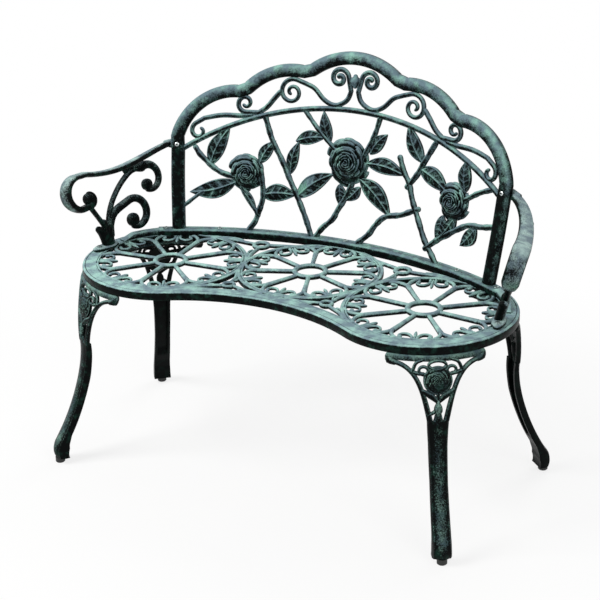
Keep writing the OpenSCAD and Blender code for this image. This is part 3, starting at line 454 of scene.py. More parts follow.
# The rail's section, with a crowned front that takes the paint, most of all along its upper
# edge, and a flat rear
rail_section = np.array([
    [-1, -0.55, 0], [-1, 0.15, 0], [-0.9, 0.62, 0.35], [-0.68, 0.86, 0.6], [-0.3, 0.97, 0.65],
    [0, 1, 0.75], [0.3, 0.97, 0.8], [0.68, 0.86, 0.95], [0.9, 0.62, 0.9], [1, 0.15, 0.3],
    [1, -0.55, 0], [0.8, -0.9, 0], [0, -0.96, 0], [-0.8, -0.9, 0]])
# A round bar's section: paint takes on both shoulders of its front and less along the middle
branch_section = oval(14, 0.15)
branch_section[:, 2] = (np.clip(0.14 + 0.24 * branch_section[:, 1]
                                + 0.78 * np.abs(branch_section[:, 0]), 0, 1)
                        * np.clip(2.4 * branch_section[:, 1], 0, 1))

# Posts and rail run in one: up the right post, over the five scallops, down the left post.
# The posts are a little fuller than the rail, and their paint is thinner, more along their edges
# than across the middle
shoulder = [post_s + post_flare, post_z]
post = through([[post_s, rail_top - 3], [post_s + post_flare * 0.55, seat_z + 110],
                [post_s + post_flare * 0.8, post_z - 30]], 8)
half = np.vstack([post, bulge(valley_out, shoulder, 33)[::-1],
                  bulge(valley_in, valley_out, 21)[::-1]])
crown = bulge(valley_in * [-1, 1], valley_in, crown_z - valley_in[1])[::-1]
valleys = [v * [k, 1] for v in (valley_in, valley_out) for k in (-1, 1)]
flank = clear_of(np.vstack([half, crown, half[::-1] * [-1, 1]]), valleys)
fuller = np.interp(flank[:, 1], [post_z - 20, post_z + 80], [1.13, 1.05])
rings, paint, closed = back_bar(flank, frame_w * fuller, frame_t * 1.2 * fuller, rail_section)
kept = np.interp(flank[:, 1], [post_z - 30, post_z + 50], [0, 1])[:, None]
post_paint_thinned = np.array([0.2 + 0.5 * x ** 2 if y > 0 else 0 for x, y, _ in rail_section])
back_shells = [(rings, paint * kept + post_paint_thinned * (1 - kept), closed)]

# The inner arc, and the foot rail that rests on the seat
s = np.linspace(-post_s, post_s, 150)
back_shells.append(back_bar(np.column_stack([s, arc_at(s)]), arc_w, frame_t * 0.8,
                            branch_section))
foot = (post_s + 44) / back_r
turn = np.linspace(-foot, foot, 160)
rail_plan = np.column_stack([back_r * np.sin(turn), bend_y + back_r * np.cos(turn)])
foot_section = np.array([
    [14, 0, 0], [14, 8.6, 0.3], [12.6, 11, 0.9], [9.5, 12, 0.5], [0, 12.2, 0.15],
    [-9.5, 12, 0.5], [-12.6, 11, 0.9], [-14, 8.6, 0.3], [-14, 0, 0]])
back_shells.append(band(rail_plan, foot_section, seat_z, closed=False))


def over_arc(points):
    """Places given by their distance round the back and their height over the inner arc."""
    p = np.asarray(points, float)
    return np.column_stack([p[:, 0], arc_at(p[:, 0]) + p[:, 1]])


# The scrolls between the inner arc and the scalloped rail: one with a coil at both ends, one
# with a hook, and one that runs out along the arc. They touch the arc where they pass over it
eye = np.array([36.0, crown_z - 44])
curl_c = np.array([143.0, valley_in[1] - 42])
hook_c = np.array([246.0, valley_out[1] - 23])
tail_c = np.array([346.0, arc_at(346) + 19])
touch = arc_w / 2 + scroll_w / 2 - 3
lead = through(np.vstack([[7, eye[1] - 20],
                          over_arc([[15, 22], [30, touch + 3], [48, touch], [70, touch + 11],
                                    [92, 42]]),
                          [113, curl_c[1] + 20]]))
coiled = np.vstack([coil(eye, 4, 21, 60, 520), lead[1:], coil(curl_c, 28, 6, 112, -390)])
hooked = np.vstack([through(np.vstack([[170, curl_c[1] - 2],
                                       over_arc([[182, 32], [199, 16], [220, touch]])]))[:-1],
                    coil(hook_c, 19, 6, -95, 300)])
tailed = np.vstack([through(over_arc([[232, touch], [254, 13], [298, 30], [340, 42]]))[:-1],
                    coil(tail_c, 18, 7, 60, -220)])
for k in (-1, 1):
    for scroll in (coiled, hooked, tailed):
        along = np.arange(len(scroll)) / len(scroll)
        back_shells.append(back_bar(scroll * [k, 1], scroll_w * (1.15 - 0.4 * along ** 2), 10,
                                    branch_section, round_ends=True))
# The bead that clasps the two middle coils
clasp = np.column_stack([np.zeros(5), crown_z - np.array([57, 53, 47, 41, 37])])
back_shells.append(back_bar(clasp, [10, 20, 24, 20, 10], [10, 17, 20, 17, 10], oval(16),
                            round_ends=True))


def panel(points):
    """Places in the rose panel: percentages of half the opening and of its height."""
    p = np.asarray(points, float)
    return np.column_stack([post_s * p[:, 0] / 100,
                            rail_top + (arc_z - rail_top) * p[:, 1] / 100])


# Each branch: its thickness beside that of a full one, and its places in the panel. It is
# lumpy where shoots were pruned, about once in 34 mm
branches = [
    [1, [[-93, 63], [-89, 56], [-79, 45], [-68, 40]]],
    [1, [[-54, 47], [-52, 32], [-52, 24], [-54, 14], [-56, 6], [-61, -3]]],
    [0.8, [[-66, 38], [-60, 24], [-54, 12]]],
    [0.7, [[-88, 28], [-98, 17]]],
    [1, [[-53, 89], [-48, 71], [-42, 57], [-36, 41], [-29, 23], [-24, 8], [-21, -3]]],
    [0.8, [[-30, 97], [-21, 83], [-10, 69]]],
    [0.9, [[17, 98], [14, 84], [8, 66]]],
    [1, [[2, 45], [-1, 35], [-6, 23], [-9, 15], [-15, 7], [-20, -3]]],
    [1, [[5, -3], [14, 8], [18, 16], [24, 24], [34, 28], [40, 32], [45.5, 35.5]]],
    [1, [[31, 71], [34, 61], [38, 53], [41, 41], [46, 27], [51, 14], [57, 4], [61, -3]]],
    [1, [[37, 50], [43, 61], [46, 69], [49, 76], [54, 88]]],
    [0.9, [[76, 51], [85, 59], [95, 65]]],
    [1, [[52, 8], [59, 16], [65, 22], [72, 28], [80, 34], [89, 36], [98, 39]]]]
branch_step, lump_gap = 4, 34
rng = np.random.default_rng(7)
for share, points in branches:
    path = through(panel(points), branch_step)
    t = np.arange(len(path)) * branch_step / lump_gap
    lumps = 1 + 0.07 * np.sin(2 * np.pi * (t + rng.random())) + 0.04 * np.sin(2 * np.pi * 2.3 * t)
    back_shells.append(back_bar(path, branch_w * share * lumps, frame_t * 0.72 * lumps,
                                branch_section, round_ends=True))


def leaf(foot_at, tip_at, width, green=0.0):
    """A cast leaf on a slightly bowed spine. Along it the half width follows the sine of a
    stretched length; across it the front dips between a raised midrib and a raised edge,
    and side veins run out and forward as narrow ridges. The rear is a shallow hollow.
    Green paint, where there is any, fades from its foot and lies mostly on one half."""
    foot_at, tip_at = panel([foot_at, tip_at])
    bow, veins = 0.06, 5.2
    u, v = np.linspace(0.01, 0.995, 44), np.linspace(-1, 1, 25)
    U, V = np.meshgrid(u, v, indexing="ij")
    off = np.abs(V)
    span = tip_at - foot_at
    length = np.linalg.norm(span)
    across = np.array([-span[1], span[0]]) / length
    spine = foot_at + span * u[:, None] + across * (bow * length * np.sin(np.pi * u))[:, None]
    half = np.maximum(0.8, width / 2 * np.sin(np.pi * u ** 0.85) ** 0.9)[:, None]
    phase = (U * veins - off * 0.75) % 1.0
    vein = np.exp(-((phase - 0.5) / 0.11) ** 2) * np.clip(1 - off ** 4, 0, 1) * (off > 0.06)
    rib = np.exp(-(V * half / 1.3) ** 2)
    edge = np.exp(-((off - 0.93) * half / 1.5) ** 2)
    fade = np.sin(np.pi * U) ** 0.4
    front = (1.6 + (2.4 * rib + 0.9 * vein + 1.5 * edge) * fade - 2.2 * off ** 2 * fade
             + 2.6 * np.sin(np.pi * U))
    rear = -2.4 + 1.6 * np.sin(np.pi * U) * (1 - V ** 2) - 2.2 * V ** 2 * 0.4
    paint = np.clip(0.42 + 0.46 * rib + 0.36 * vein + 0.34 * edge, 0, 1)
    fresh = green * np.clip(1.7 - 2.6 * U, 0, 1) * np.clip(0.55 + 2.5 * V, 0.25, 1)
    paint = paint * (1 - fresh) + fresh * (1.35 + 0.5 * np.maximum(rib, vein))
    plan = spine[:, None] + across * V[..., None] * half[..., None]
    plan = np.concatenate([plan, plan[:, ::-1]], 1)
    proud = np.concatenate([front, rear[:, ::-1]], 1)
    s, z = plan[..., 0], plan[..., 1]
    rings = sheet(s, z) - sheet_normal(s, z) * proud[..., None]
    return rings, np.concatenate([paint, 0 * paint], 1), False


# Each leaf: its foot and tip in the panel and its width, and on one of them the green paint
leaves = [
    [[-84, 48.5], [-73.5, 79], 38], [[-55, 52], [-46, 71], 28], [[-68, 37], [-95, 28], 40],
    [[-66, 34], [-55, 12], 15], [[-53, 28], [-32, 30], 38], [[-32, 28], [-10, 50], 38, 0.9],
    [[-36, 46], [-32, 72], 26], [[-34, 72], [-16, 77], 30], [[-13, 74], [-18, 97], 26],
    [[12, 69], [22, 86], 30], [[10, 62], [35, 58], 34], [[6.5, 49.5], [27, 25], 41],
    [[-6, 43], [-5, 26], 24], [[7, 43], [-2, 31], 24], [[46, 70], [35, 96], 34],
    [[44, 66], [64, 53], 38], [[76, 57], [75, 80], 32], [[62, 36], [59, 15], 28],
    [[71, 38], [59, 16], 28], [[86, 34], [76, 18], 30]]
back_shells += [leaf(*each) for each in leaves]


def petal(centre, axes, inner, outer, low_z, high_z, middle, spread, roll):
    """A petal. Round the flower it covers the angle middle plus or minus spread; from its
    foot it sweeps out to its lip as the way to the power 1.3, rises as its sine, and rolls
    back over the last three tenths. Its lip is lower at both ends, so that it looks round."""
    thick = 1.7
    A, T = np.meshgrid(np.linspace(-1, 1, 17), np.linspace(0, 1, 9), indexing="ij")
    crest = (1 - np.abs(A) ** 3.2) ** 0.5
    r = inner + (outer - inner) * T ** 1.3 * (0.8 + 0.2 * crest - 0.05 * np.exp(-(A / 0.2) ** 2))
    r = r * (1 + 0.07 * A)
    h = (low_z + (high_z - low_z) * np.sin(T * np.pi / 2) * crest
         - roll * np.clip(T - 0.7, 0, 1) ** 2 * 11)
    angle = np.radians(middle) + np.radians(spread) * A
    inside, outside = (np.stack([away * np.cos(angle), away * np.sin(angle), height], -1)
                       for away, height in ((r, h), (r + thick * 0.45, h - thick)))
    rings = np.concatenate([inside, outside[:, ::-1]], 1)
    paint = 0.15 + 0.75 * np.clip((T - 0.80) / 0.12, 0, 1)
    return centre + rings @ axes, np.concatenate([paint, 0 * paint], 1), False


def rose(centre, axes, r, deep):
    """An open rose: eight rows of petals, each row smaller, higher, more upright and turned
    from the last, about a wound bud. A row has its count of petals, the radius of their
    feet and lips beside the rose's, the height of both, half the angle that a petal covers,
    the angle at which the row starts, and how far its lips roll back."""
    shells = []
    rows = [(6, 0.50, 1.00, -2.5, 4, 37, 10, 3.6), (6, 0.44, 0.87, 0, 8, 37, 42, 2.8),
            (5, 0.36, 0.72, 2, 11.5, 44, 15, 2.0), (5, 0.28, 0.58, 4, 14, 44, 50, 1.2),
            (5, 0.21, 0.45, 5, 16, 46, 20, 0.8), (4, 0.14, 0.33, 6, 17.5, 56, 45, 0.5),
            (3, 0.08, 0.21, 7, 18.5, 70, 10, 0.2), (2, 0.02, 0.11, 8, 19.5, 95, 60, 0)]
    for count, inner, outer, low_z, high_z, spread, start, roll in rows:
        for i in range(count):
            uneven = 1 + 0.10 * outer * np.sin(i * 2.4 + start)
            skew = 8 * np.sin(i * 5.1 + start)
            shells.append(petal(centre, axes, inner * r, outer * r * uneven, low_z * deep,
                                high_z * deep * (0.9 + 0.1 * uneven),
                                start + skew + i * 360 / count, spread, roll * deep))
    up = np.linspace(0, 1, 8)[:, None]
    a = np.linspace(0, 2 * np.pi, 14, endpoint=False)[None]
    radius = r * (0.52 - 0.49 * up ** 0.8)
    rings = np.stack([radius * np.cos(a), radius * np.sin(a), (-3 + 16 * up + 0 * a) * deep], -1)
    shells.append((centre + rings @ axes, np.zeros(rings.shape[:2]), False))
    return shells


roses = [[[-62, 45], 39.0], [[-1, 61], 49.5], [[69, 48], 39.0]]      # place and radius
for place, r in roses:
    s, z = panel([place])[0]
    normal = sheet_normal(s, z)
    right = unit(sheet(s + 1, z) - sheet(s - 1, z))
    axes = np.array([right, np.cross(right, normal), -normal])
    back_shells += rose(sheet(s, z), axes, r, 1.0)

back_paint = wiped_paint_and_highlight("verdigris wiped over black powder paint, back", cover=0.50,
                         slate="#6a818a", mint="#8fbdb0", tint_from=0.44)
back = casting("backrest_casting", back_shells)
back.data.materials.append(back_paint)
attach(back, "root")
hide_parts("backrest")

# Arms. Each is one casting: a broad strap that leaves the post, sinks and rolls under at the
# front, a stay and two volutes in the plane below it, a foot and an ear. One bolt holds the
# foot to the seat and one holds the ear behind the post.

# Places are [forward of the foot, up from it] in the arm's plane, which leans outward
arm_foot_r, arm_foot_turn = 166.0, np.radians(9)
arm_splay, arm_lean = np.radians(15), np.radians(15)
arm_h, strap_t, strap_w, roll_w, roll_r, knob_r = 166.0, 11.0, 22.0, 35.0, 35.0, 17.0
foot_t, ear_t, work_t = 9.0, 8.0, 12.0
arm_foot = np.array([hub_gap + arm_foot_r * np.cos(arm_foot_turn),
                     -arm_foot_r * np.sin(arm_foot_turn), seat_z + foot_t])
arm_fore = np.array([np.sin(arm_splay), -np.cos(arm_splay), 0])
arm_out = np.array([np.cos(arm_splay) * np.cos(arm_lean), np.sin(arm_splay) * np.cos(arm_lean),
                    -np.sin(arm_lean)])
arm_up = np.cross(arm_fore, arm_out)
crest = (arm_h - foot_t - strap_t / 2) / np.cos(arm_lean)
roll_c = np.array([18.0, crest - roll_r])
knob_c = np.array([roll_c[0] - 20, roll_c[1] - roll_r + strap_t / 2 + knob_r - 3])
bolt_s, bolt_z = post_s + post_flare - 1, post_z - 17
rail_low = (rail_h + 0.3 - foot_t) / np.cos(arm_lean) + work_t / 2 * np.tan(arm_lean)


def arm_point(p):
    """A point of the arm's plane, from its distance forward and up that plane."""
    p = np.asarray(p, float)
    return arm_foot + p[..., :1] * arm_fore + p[..., 1:] * arm_up


def bezier(p, n):
    """The cubic with its two ends and its two handles."""
    t = np.linspace(0, 1, n)[:, None]
    p = np.asarray(p, float)
    return ((1 - t) ** 3 * p[0] + 3 * (1 - t) ** 2 * t * p[1] + 3 * (1 - t) * t ** 2 * p[2]
            + t ** 3 * p[3])


def spread_over(count, values):
    """Values that are spaced evenly along a bar, read off at each of its points."""
    if np.isscalar(values):
        return values
    return np.interp(np.linspace(0, 1, count), np.linspace(0, 1, len(values)), values)


def arm_bar(points, width, depth, section):
    """A bar in the arm's plane, with its depth across the plane and its ends round."""
    path = arm_point(through(points, 3))
    out = np.tile(arm_out, (len(path), 1))
    side = unit(np.cross(out, heading(path)))
    return carried(path, side, out, spread_over(len(path), width), depth, section,
                   round_ends=True)


# The strap: a cubic from the post to the roll, the roll, and the small coil that it ends in.
# Its width is square to the arm's upright at the post, and to the arm's plane round the roll
start = sheet(bolt_s + 23, bolt_z - 1) + sheet_normal(bolt_s + 23, bolt_z - 1) * frame_t / 2
rise = bezier([start, arm_point([-168, crest + 6]), arm_point([-98, crest - 25]),
               arm_point([-4, crest])], 60)
path = np.vstack([rise, arm_point(arc(roll_c, roll_r, 84, -90, 2.3)),
                  arm_point(coil(knob_c - [0, 2], 15, 9, -100, -250, 3))])
at = np.arange(len(path))
way = heading(path)
blend = np.clip(at / len(rise), 0, 1)[:, None]
across = unit(unit(np.cross(np.tile(arm_up, (len(path), 1)), way)) * (1 - blend)
              + arm_out * blend)
up = unit(np.cross(way, across))
width = strap_w + (roll_w - strap_w) * np.minimum(1, at / len(rise))
width[len(rise):] = np.interp(np.linspace(0, 1, len(path) - len(rise)), [0, 0.5, 0.8, 1],
                              [roll_w, 34, 18, 12])
thick = np.interp(at, [0, len(rise), at[-1]], [13.5, 12, 15])
rings, paint, closed = carried(path, across, up, width, thick, rail_section * [1, 1, 1.1],
                               round_ends=True)
# Round the roll the paint thins out, apart from a fresh patch of green
past_rise = np.arange(len(paint)) - len(rise)
fresh = np.exp(-((past_rise - 33) / 8) ** 2)[:, None]
thin = np.interp(past_rise, [-len(rise), 0, 20, 44, 60], [0.7, 0.85, 0.7, 0.3, 0.1])[:, None]
arm_shells = [(rings, paint * thin + fresh * 0.9 * (paint > 0.6), closed)]

# The stay, the two volutes, and the domed discs in their eyes and in the roll. A disc's ring
# is [how far out, share of the radius]
work_section = oval(14, 0.5)
work_section[:, 2] = 0.15 + 0.25 * np.abs(work_section[:, 1])
lower_c, upper_c = np.array([-115, rail_low + 40]), np.array([-171, crest - 48])
stay = [[-34, 20], [-38, 40], [-46, 62], [-60, 84], [-80, 105], [-102, 122], [-126, 135],
        [-148, 138]]
upper = np.vstack([[[-112, crest - 15], [-134, crest - 15]], coil(upper_c, 31, 24, 62, 292, 4)])
lower = np.vstack([[[-34, 16], [-41, 40], [-60, rail_low + 56]],
                   coil(lower_c, 33, 27, 68, 296, 4)])
arm_shells += [arm_bar(stay, [16, 11, 10.5, 11, 12, 14], work_t, work_section),
               arm_bar(upper, [19, 20, 17, 15, 14, 13], work_t, work_section),
               arm_bar(lower, [24, 18, 17, 17, 16, 15], work_t + 1, work_section)]
circle = arc((0, 0), 1, 0, 360, 0.25)[:-1]
dome = ((-1, 0.3), (-0.93, 0.7), (-0.65, 0.95), (0, 1), (0.65, 0.95), (0.93, 0.7), (1, 0.3))
for centre, r, half in ((upper_c + [9, -12], 13, 7.5), (lower_c + [11, -12], 15, 7.5),
                        (knob_c - [0, 2], 13, 8.0)):
    disc = np.array([arm_point(centre + r * share * circle) + arm_out * out * half
                     for out, share in dome])
    arm_shells.append((disc, np.full(disc.shape[:2], 0.3), False))

# The bar under the roll, three short leaves at its foot, the foot and the ear
arm_shells.append(arm_bar([[-2, roll_c[1] - roll_r - 2], [-12, 66], [-27, 38]], [10, 9, 11],
                          work_t, work_section))
for points, widths in (([[-26, -6], [-23, 12], [-17, 26], [-11, 34]], [26, 28, 23, 15]),
                       ([[-27, -6], [-29, 14], [-33, 27], [-38, 36]], [26, 28, 22, 14]),
                       ([[-25, -4], [-26, 20], [-27, 44]], [26, 22, 10])):
    arm_shells.append(arm_bar(points, widths, work_t + 7, oval(14, 0.3)))
pad = np.array([arm_foot[:2] + fore * arm_fore[:2] for fore in (10, 0, -12, -24, -36, -46)])
arm_shells.append(flat_bar(pad, [14, 24, 28, 28, 26, 16], foot_t, seat_z + foot_t / 2,
                           oval(16, 0.7), round_ends=True))
ear = [[bolt_s + off, bolt_z] for off in (-9, 0, 12, 30)]
arm_shells.append(back_bar(ear, [18, 25, 22, 13], ear_t, oval(16, 0.7),
                           rear=frame_t / 2 + ear_t / 2 + 0.1, round_ends=True))

arm_paint = wiped_paint_and_highlight("verdigris wiped over black powder paint, arms", cover=0.42, grit=1.2)
for k, side_name in ((-1, "left"), (1, "right")):
    arm = casting("arm_casting_" + side_name,
                  [(rings * [k, 1, 1], paint, closed) for rings, paint, closed in arm_shells])
    arm.data.materials.append(arm_paint)
    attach(arm, "root")
    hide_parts("arm_" + side_name)

# Legs. Four cabriole castings: a channelled shaft that swells at the knee and runs out to
# the toe, and above it two flaring rims with a rose, loops and a bud between them. Two
# bolts hold each leg's curved pad up against the bosses under the seat.
leg_top_r, knee_r, knee_z = 183.0, 208.0, 250.0
toe_r, sole_z, skirt_z = 287.0, 12.0, seat_z - skirt_h
front_turn, rear_turn, rear_in = 33.0, 42.0, 6.0
wing_w, shaft_w = 84.0, 36.0
pad_r, pad_w, pad_t, pad_turn = 165.5, 32.0, 7.0, 26.0
open_z, rose_z, bar_w = skirt_z - 124, skirt_z - 46, 8.5

# The outer face seen from the side, as [distance from the hub, height]
shin = np.vstack([bezier([[leg_top_r, skirt_z], [leg_top_r + 12, skirt_z - 24],
                          [knee_r + 2, knee_z + 55], [knee_r, knee_z]], 40)[:-1],
                  bezier([[knee_r, knee_z], [knee_r + 1, knee_z - 60], [toe_r - 42, sole_z + 84],
                          [toe_r - 6, sole_z + 33]], 50)[:-1],
                  bezier([[toe_r - 6, sole_z + 33], [toe_r, sole_z + 24], [toe_r + 1, sole_z + 9],
                          [toe_r - 5, sole_z]], 14)])
# One rim and the shaft's edge seen from the front, as [half width, height]
rim = np.vstack([[wing_w - 3, skirt_z - 14],
                 bezier([[wing_w - 10, skirt_z - 17], [wing_w - 48, skirt_z - 24],
                         [26.5, skirt_z - 72], [shaft_w / 2 - 2.6, open_z]], 46)])
shaft_edge = np.array([[shaft_w / 2 + 2.5, open_z], [shaft_w / 2, open_z - 50],
                       [shaft_w / 2 - 1, knee_z - 110], [shaft_w / 2, sole_z + 40],
                       [shaft_w / 2 + 1, sole_z]])
band_section = oval(14, 0.7)
band_section[:, 2] = np.where(band_section[:, 1] > 0, 1.0, 0)


def shin_at(z):
    """Distance of the leg's outer face from the hub at height z."""
    return np.interp(-np.asarray(z, float), -shin[:, 1], shin[:, 0])


def on_leg(y, z, t=0.0):
    """A point of the leg: y sideways, z up, and t in from the outer face, which lies on a
    round surface about the hub."""
    r = shin_at(z) - t
    return np.stack([np.sqrt(np.maximum(r ** 2 - y ** 2, 1)), y + 0 * r, z + 0 * r], -1)


def leg_bar(points, width, depth, proud=0.0, section=branch_section, closed=False, smooth=True):
    """A bar that lies in the leg's face, with its front the given height proud of it."""
    plan = through(points, 3) if smooth else np.asarray(points, float)
    path = on_leg(plan[:, 0], plan[:, 1], depth / 2 - proud)
    out = unit(on_leg(plan[:, 0], plan[:, 1]) * [1, 1, 0])
    along = heading(path, closed)
    side = unit(np.cross(out, along))
    up = unit(np.cross(along, side))
    return carried(path, side, up, spread_over(len(path), width), depth, section, closed,
                   round_ends=not closed)


def shaft():
    """The shaft, from the opening down to the sole: a face with two grooves beside a raised
    middle, edges that run back, and a channel behind, which closes over the toe. A section's
    point is [across in half widths, in from the face in depths, paint]."""
    z = np.linspace(open_z, sole_z, 72)
    half = np.interp(-z, -shaft_edge[:, 1], shaft_edge[:, 0])
    deep = np.interp(z, [sole_z, sole_z + 22, sole_z + 50, knee_z - 60, open_z],
                     [21, 26, 17, 16, 11.5])
    hollow = np.clip((z - sole_z - 70) / 15, 0, 1)
    face = np.array([[-1, 1, 0], [-1, 0.35, 0.1], [-0.86, 0.1, 0.5], [-0.7, 0.08, 0.1],
                     [-0.6, 0.02, 0.4], [-0.3, -0.06, 0.6], [0, -0.1, 0.65], [0.3, -0.06, 0.6],
                     [0.6, 0.02, 0.4], [0.7, 0.08, 0.1], [0.86, 0.1, 0.5], [1, 0.35, 0.1],
                     [1, 1, 0]])
    channel = np.array([[0.66, 1, 0], [0.62, 0.35, 0], [-0.62, 0.35, 0], [-0.66, 1, 0]])
    y = np.concatenate([face, channel])[:, 0] * half[:, None]
    t = np.concatenate([face[:, 1] + 0 * half[:, None],
                        1 - (1 - channel[:, 1]) * hollow[:, None]], 1) * deep[:, None]
    rings = on_leg(y, np.broadcast_to(z[:, None], y.shape), t)
    return rings, np.broadcast_to(np.concatenate([face, channel])[:, 2], y.shape), False


def leg_shells():
    """The shells of one leg, in its own frame: x outward from the hub and z up."""
    shells = [shaft()]
    # The two rims with their tips, the band across the top and the pad behind it
    for k in (-1, 1):
        shells.append(leg_bar(rim * [k, 1], [bar_w, bar_w, bar_w + 1, bar_w + 3], 11, 0.5,
                              smooth=False))
        tip = [[k * 88, skirt_z - 8], [k * 86, skirt_z - 14], [k * 78, skirt_z - 17]]
        shells.append(leg_bar(tip, [12, 17, 11], 12, 0.8))
    top = np.column_stack([np.linspace(-87, 87, 50), np.full(50, skirt_z - 6.6)])
    shells.append(leg_bar(top, 13.2, 12, 0.5, band_section, smooth=False))
    turn = np.radians(np.linspace(-pad_turn, pad_turn, 40))
    pad_plan = np.column_stack([pad_r * np.cos(turn), pad_r * np.sin(turn)])
    shells.append(flat_bar(pad_plan, pad_w, pad_t, skirt_z - pad_t / 2 - 0.1, oval(14, 0.8)))
    # Three oval loops under the band: middle and two radii of each
    a = np.linspace(0, 2 * np.pi, 40, endpoint=False)
    for cy, cz, ry, rz in ((0, -18.5, 16.1, 7.6), (26, -28, 8.4, 7.1), (-26, -28, 8.4, 7.1)):
        loop = np.column_stack([cy + ry * np.cos(a), skirt_z + cz + rz * np.sin(a)])
        shells.append(leg_bar(loop, 6.0, 8, 0.8, closed=True, smooth=False))
    # The stem under the rose, a side shoot, the strokes that tie each rim to the band, a loop
    # and the stem, and the bud on the stem. Each has its places and its widths
    strokes = [([[0, -62], [0, -84], [0, -112], [0, -126]], [7, 7.5, 9, 21]),
               ([[-18, -111], [-9, -107], [0, -98]], [6, 7, 5])]
    for k in (-1, 1):
        strokes += [([[k * 27, -9], [k * 39, -15], [k * 46, -29]], [6.5, 6.5, 7]),
                    ([[k * 48, -30], [k * 37, -33], [k * 27, -34]], [7, 7.5, 7]),
                    ([[k * 30, -64], [k * 14, -74], [0, -86]], [7, 13, 9])]
    for points, widths in strokes:
        shells.append(leg_bar([[y, skirt_z + z] for y, z in points], widths, 9, 1))
    bud = [[0, skirt_z + z] for z in (-88, -95, -103, -112)]
    shells.append(leg_bar(bud, [7, 16, 17, 8], 15, 4, oval(14)))
    # The rose on its rimmed disc, whose profile is [radius, height]
    centre, lean = on_leg(np.array(0.0), np.array(rose_z), 4.0), np.radians(14)
    out = np.array([np.cos(lean), 0, np.sin(lean)])
    axes = np.array([[0, 1, 0], np.cross(out, [0, 1, 0]), out])
    disc = np.array([[26, -4], [27.5, 0], [27, 2.5], [24.5, 3.2], [22, 2], [1, 2]])
    rings = np.stack([disc[:, :1] * np.cos(a), disc[:, :1] * np.sin(a), disc[:, 1:] + 0 * a], -1)
    paint = np.broadcast_to(np.array([0, 0.2, 0.8, 0.8, 0, 0])[:, None], rings.shape[:2])
    shells.append((centre + rings @ axes, paint, False))
    return shells + rose(centre + out * 1.5, axes, 24.5, 0.4)


# The rear legs take little pale paint and a darker tinge, as painted shade: they stand in the
# seat's shadow
leg_paints = {end: wiped_paint_and_highlight("verdigris wiped over black powder paint, %s legs" % end,
                               tinge=tinge, slate="#4b6066", mint="#7c9f93", cover=cover,
                               grit=1.6, drift=0.4)
              # The rear legs' low cover and darker tinge are painted shade
              for end, cover, tinge in (("rear", 0.08, "#0b1c17"), ("front", 0.38, "#15332a"))}
one_leg = leg_shells()
for end, front in (("front", True), ("rear", False)):
    for k, side_name in ((-1, "left"), (1, "right")):
        turn = np.radians(-90 + k * front_turn if front else 90 - k * rear_turn)
        spin = np.array([[np.cos(turn), np.sin(turn), 0], [-np.sin(turn), np.cos(turn), 0],
                         [0, 0, 1]])
        shift = [0 if front else -rear_in, 0, 0]
        shells = [((rings + shift) @ spin + [k * hub_gap, 0, 0], paint, closed)
                  for rings, paint, closed in one_leg]
        leg = casting("leg_casting_%s_%s" % (end, side_name), shells)
        leg.data.materials.append(leg_paints[end])
        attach(leg, "root")
        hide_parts("leg_%s_%s" % (end, side_name))

# Glides. Black polypropylene, moulded with a spigot that is pressed up into the toe. They
# keep their solids' shape and take a fine matt grain, one grain to the millimetre.
glide_plastic = bpy.data.materials.new("matt black polypropylene, moulded")
tree = emptied(glide_plastic)
place = add(tree, "ShaderNodeTexCoord").outputs["Object"]
grain = add(tree, "ShaderNodeTexNoise", Vector=place, Scale=900.0, Detail=2.0).outputs["Fac"]
tone = add(tree, "ShaderNodeMix", {"data_type": "RGBA"}, Factor=grain, _6=linear("#131514"),
           _7=linear("#1e2120")).outputs[2]
relief = add(tree, "ShaderNodeBump", Strength=0.3, Distance=0.0002, Height=grain)
shader = add(tree, "ShaderNodeBsdfPrincipled", Base_Color=tone, Roughness=0.6,
             Normal=relief.outputs["Normal"])
add(tree, "ShaderNodeOutputMaterial", Surface=shader.outputs["BSDF"])


def finish_nodes(starts, material):
    """Gives the material to each CAD node whose name starts so, in place of its plain one."""
    for name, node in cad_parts.items():
        if name.startswith(starts):
            node.data.materials.clear()
            node.data.materials.append(material)


finish_nodes("foot_glide", glide_plastic)

# Fasteners. Zinc-plated steel button-head bolts with their washers and nuts. The solids
# have the right shape; the plating is bright on the posts and dulled where rain lies.


def zinc(name, light, dark, rough):
    """Zinc plating: a metal whose tone and gloss drift over about four millimetres."""
    material = bpy.data.materials.new(name)
    tree = emptied(material)
    place = add(tree, "ShaderNodeTexCoord").outputs["Object"]
    spots = add(tree, "ShaderNodeTexNoise", Vector=place, Scale=240.0, Detail=3.0).outputs["Fac"]
    tone = add(tree, "ShaderNodeMix", {"data_type": "RGBA"}, Factor=spots, _6=linear(dark),
               _7=linear(light)).outputs[2]
    dull = add(tree, "ShaderNodeMapRange", Value=spots, To_Min=rough,
               To_Max=rough + 0.2).outputs["Result"]
    relief = add(tree, "ShaderNodeBump", Strength=0.2, Distance=0.0002, Height=spots)
    shader = add(tree, "ShaderNodeBsdfPrincipled", Base_Color=tone, Roughness=dull,
                 Metallic=1.0, Normal=relief.outputs["Normal"])
    add(tree, "ShaderNodeOutputMaterial", Surface=shader.outputs["BSDF"])
    return material


finish_nodes("arm_post_", zinc("bright zinc plate", "#d9dedd", "#a9b1b0", 0.25))
finish_nodes(("back_rail_", "arm_foot_", "leg_bolts", "leg_washers"),
             zinc("zinc plate dulled outdoors", "#93a3a2", "#4c5957", 0.38))

# Where the bench stands: a plain near-white floor, three large soft lamps and the camera at
# the photograph's place, 98 mm on a 36 mm frame and a little over three metres away.
floor_mesh = bpy.data.meshes.new("floor")
floor_mesh.from_pydata([(-30, -30, 0), (30, -30, 0), (30, 30, 0), (-30, 30, 0)], [],
                       [(0, 1, 2, 3)])
floor = bpy.data.objects.new("floor", floor_mesh)
bpy.context.scene.collection.objects.link(floor)
floor_white = bpy.data.materials.new("white studio floor")
floor_mesh.materials.append(floor_white)


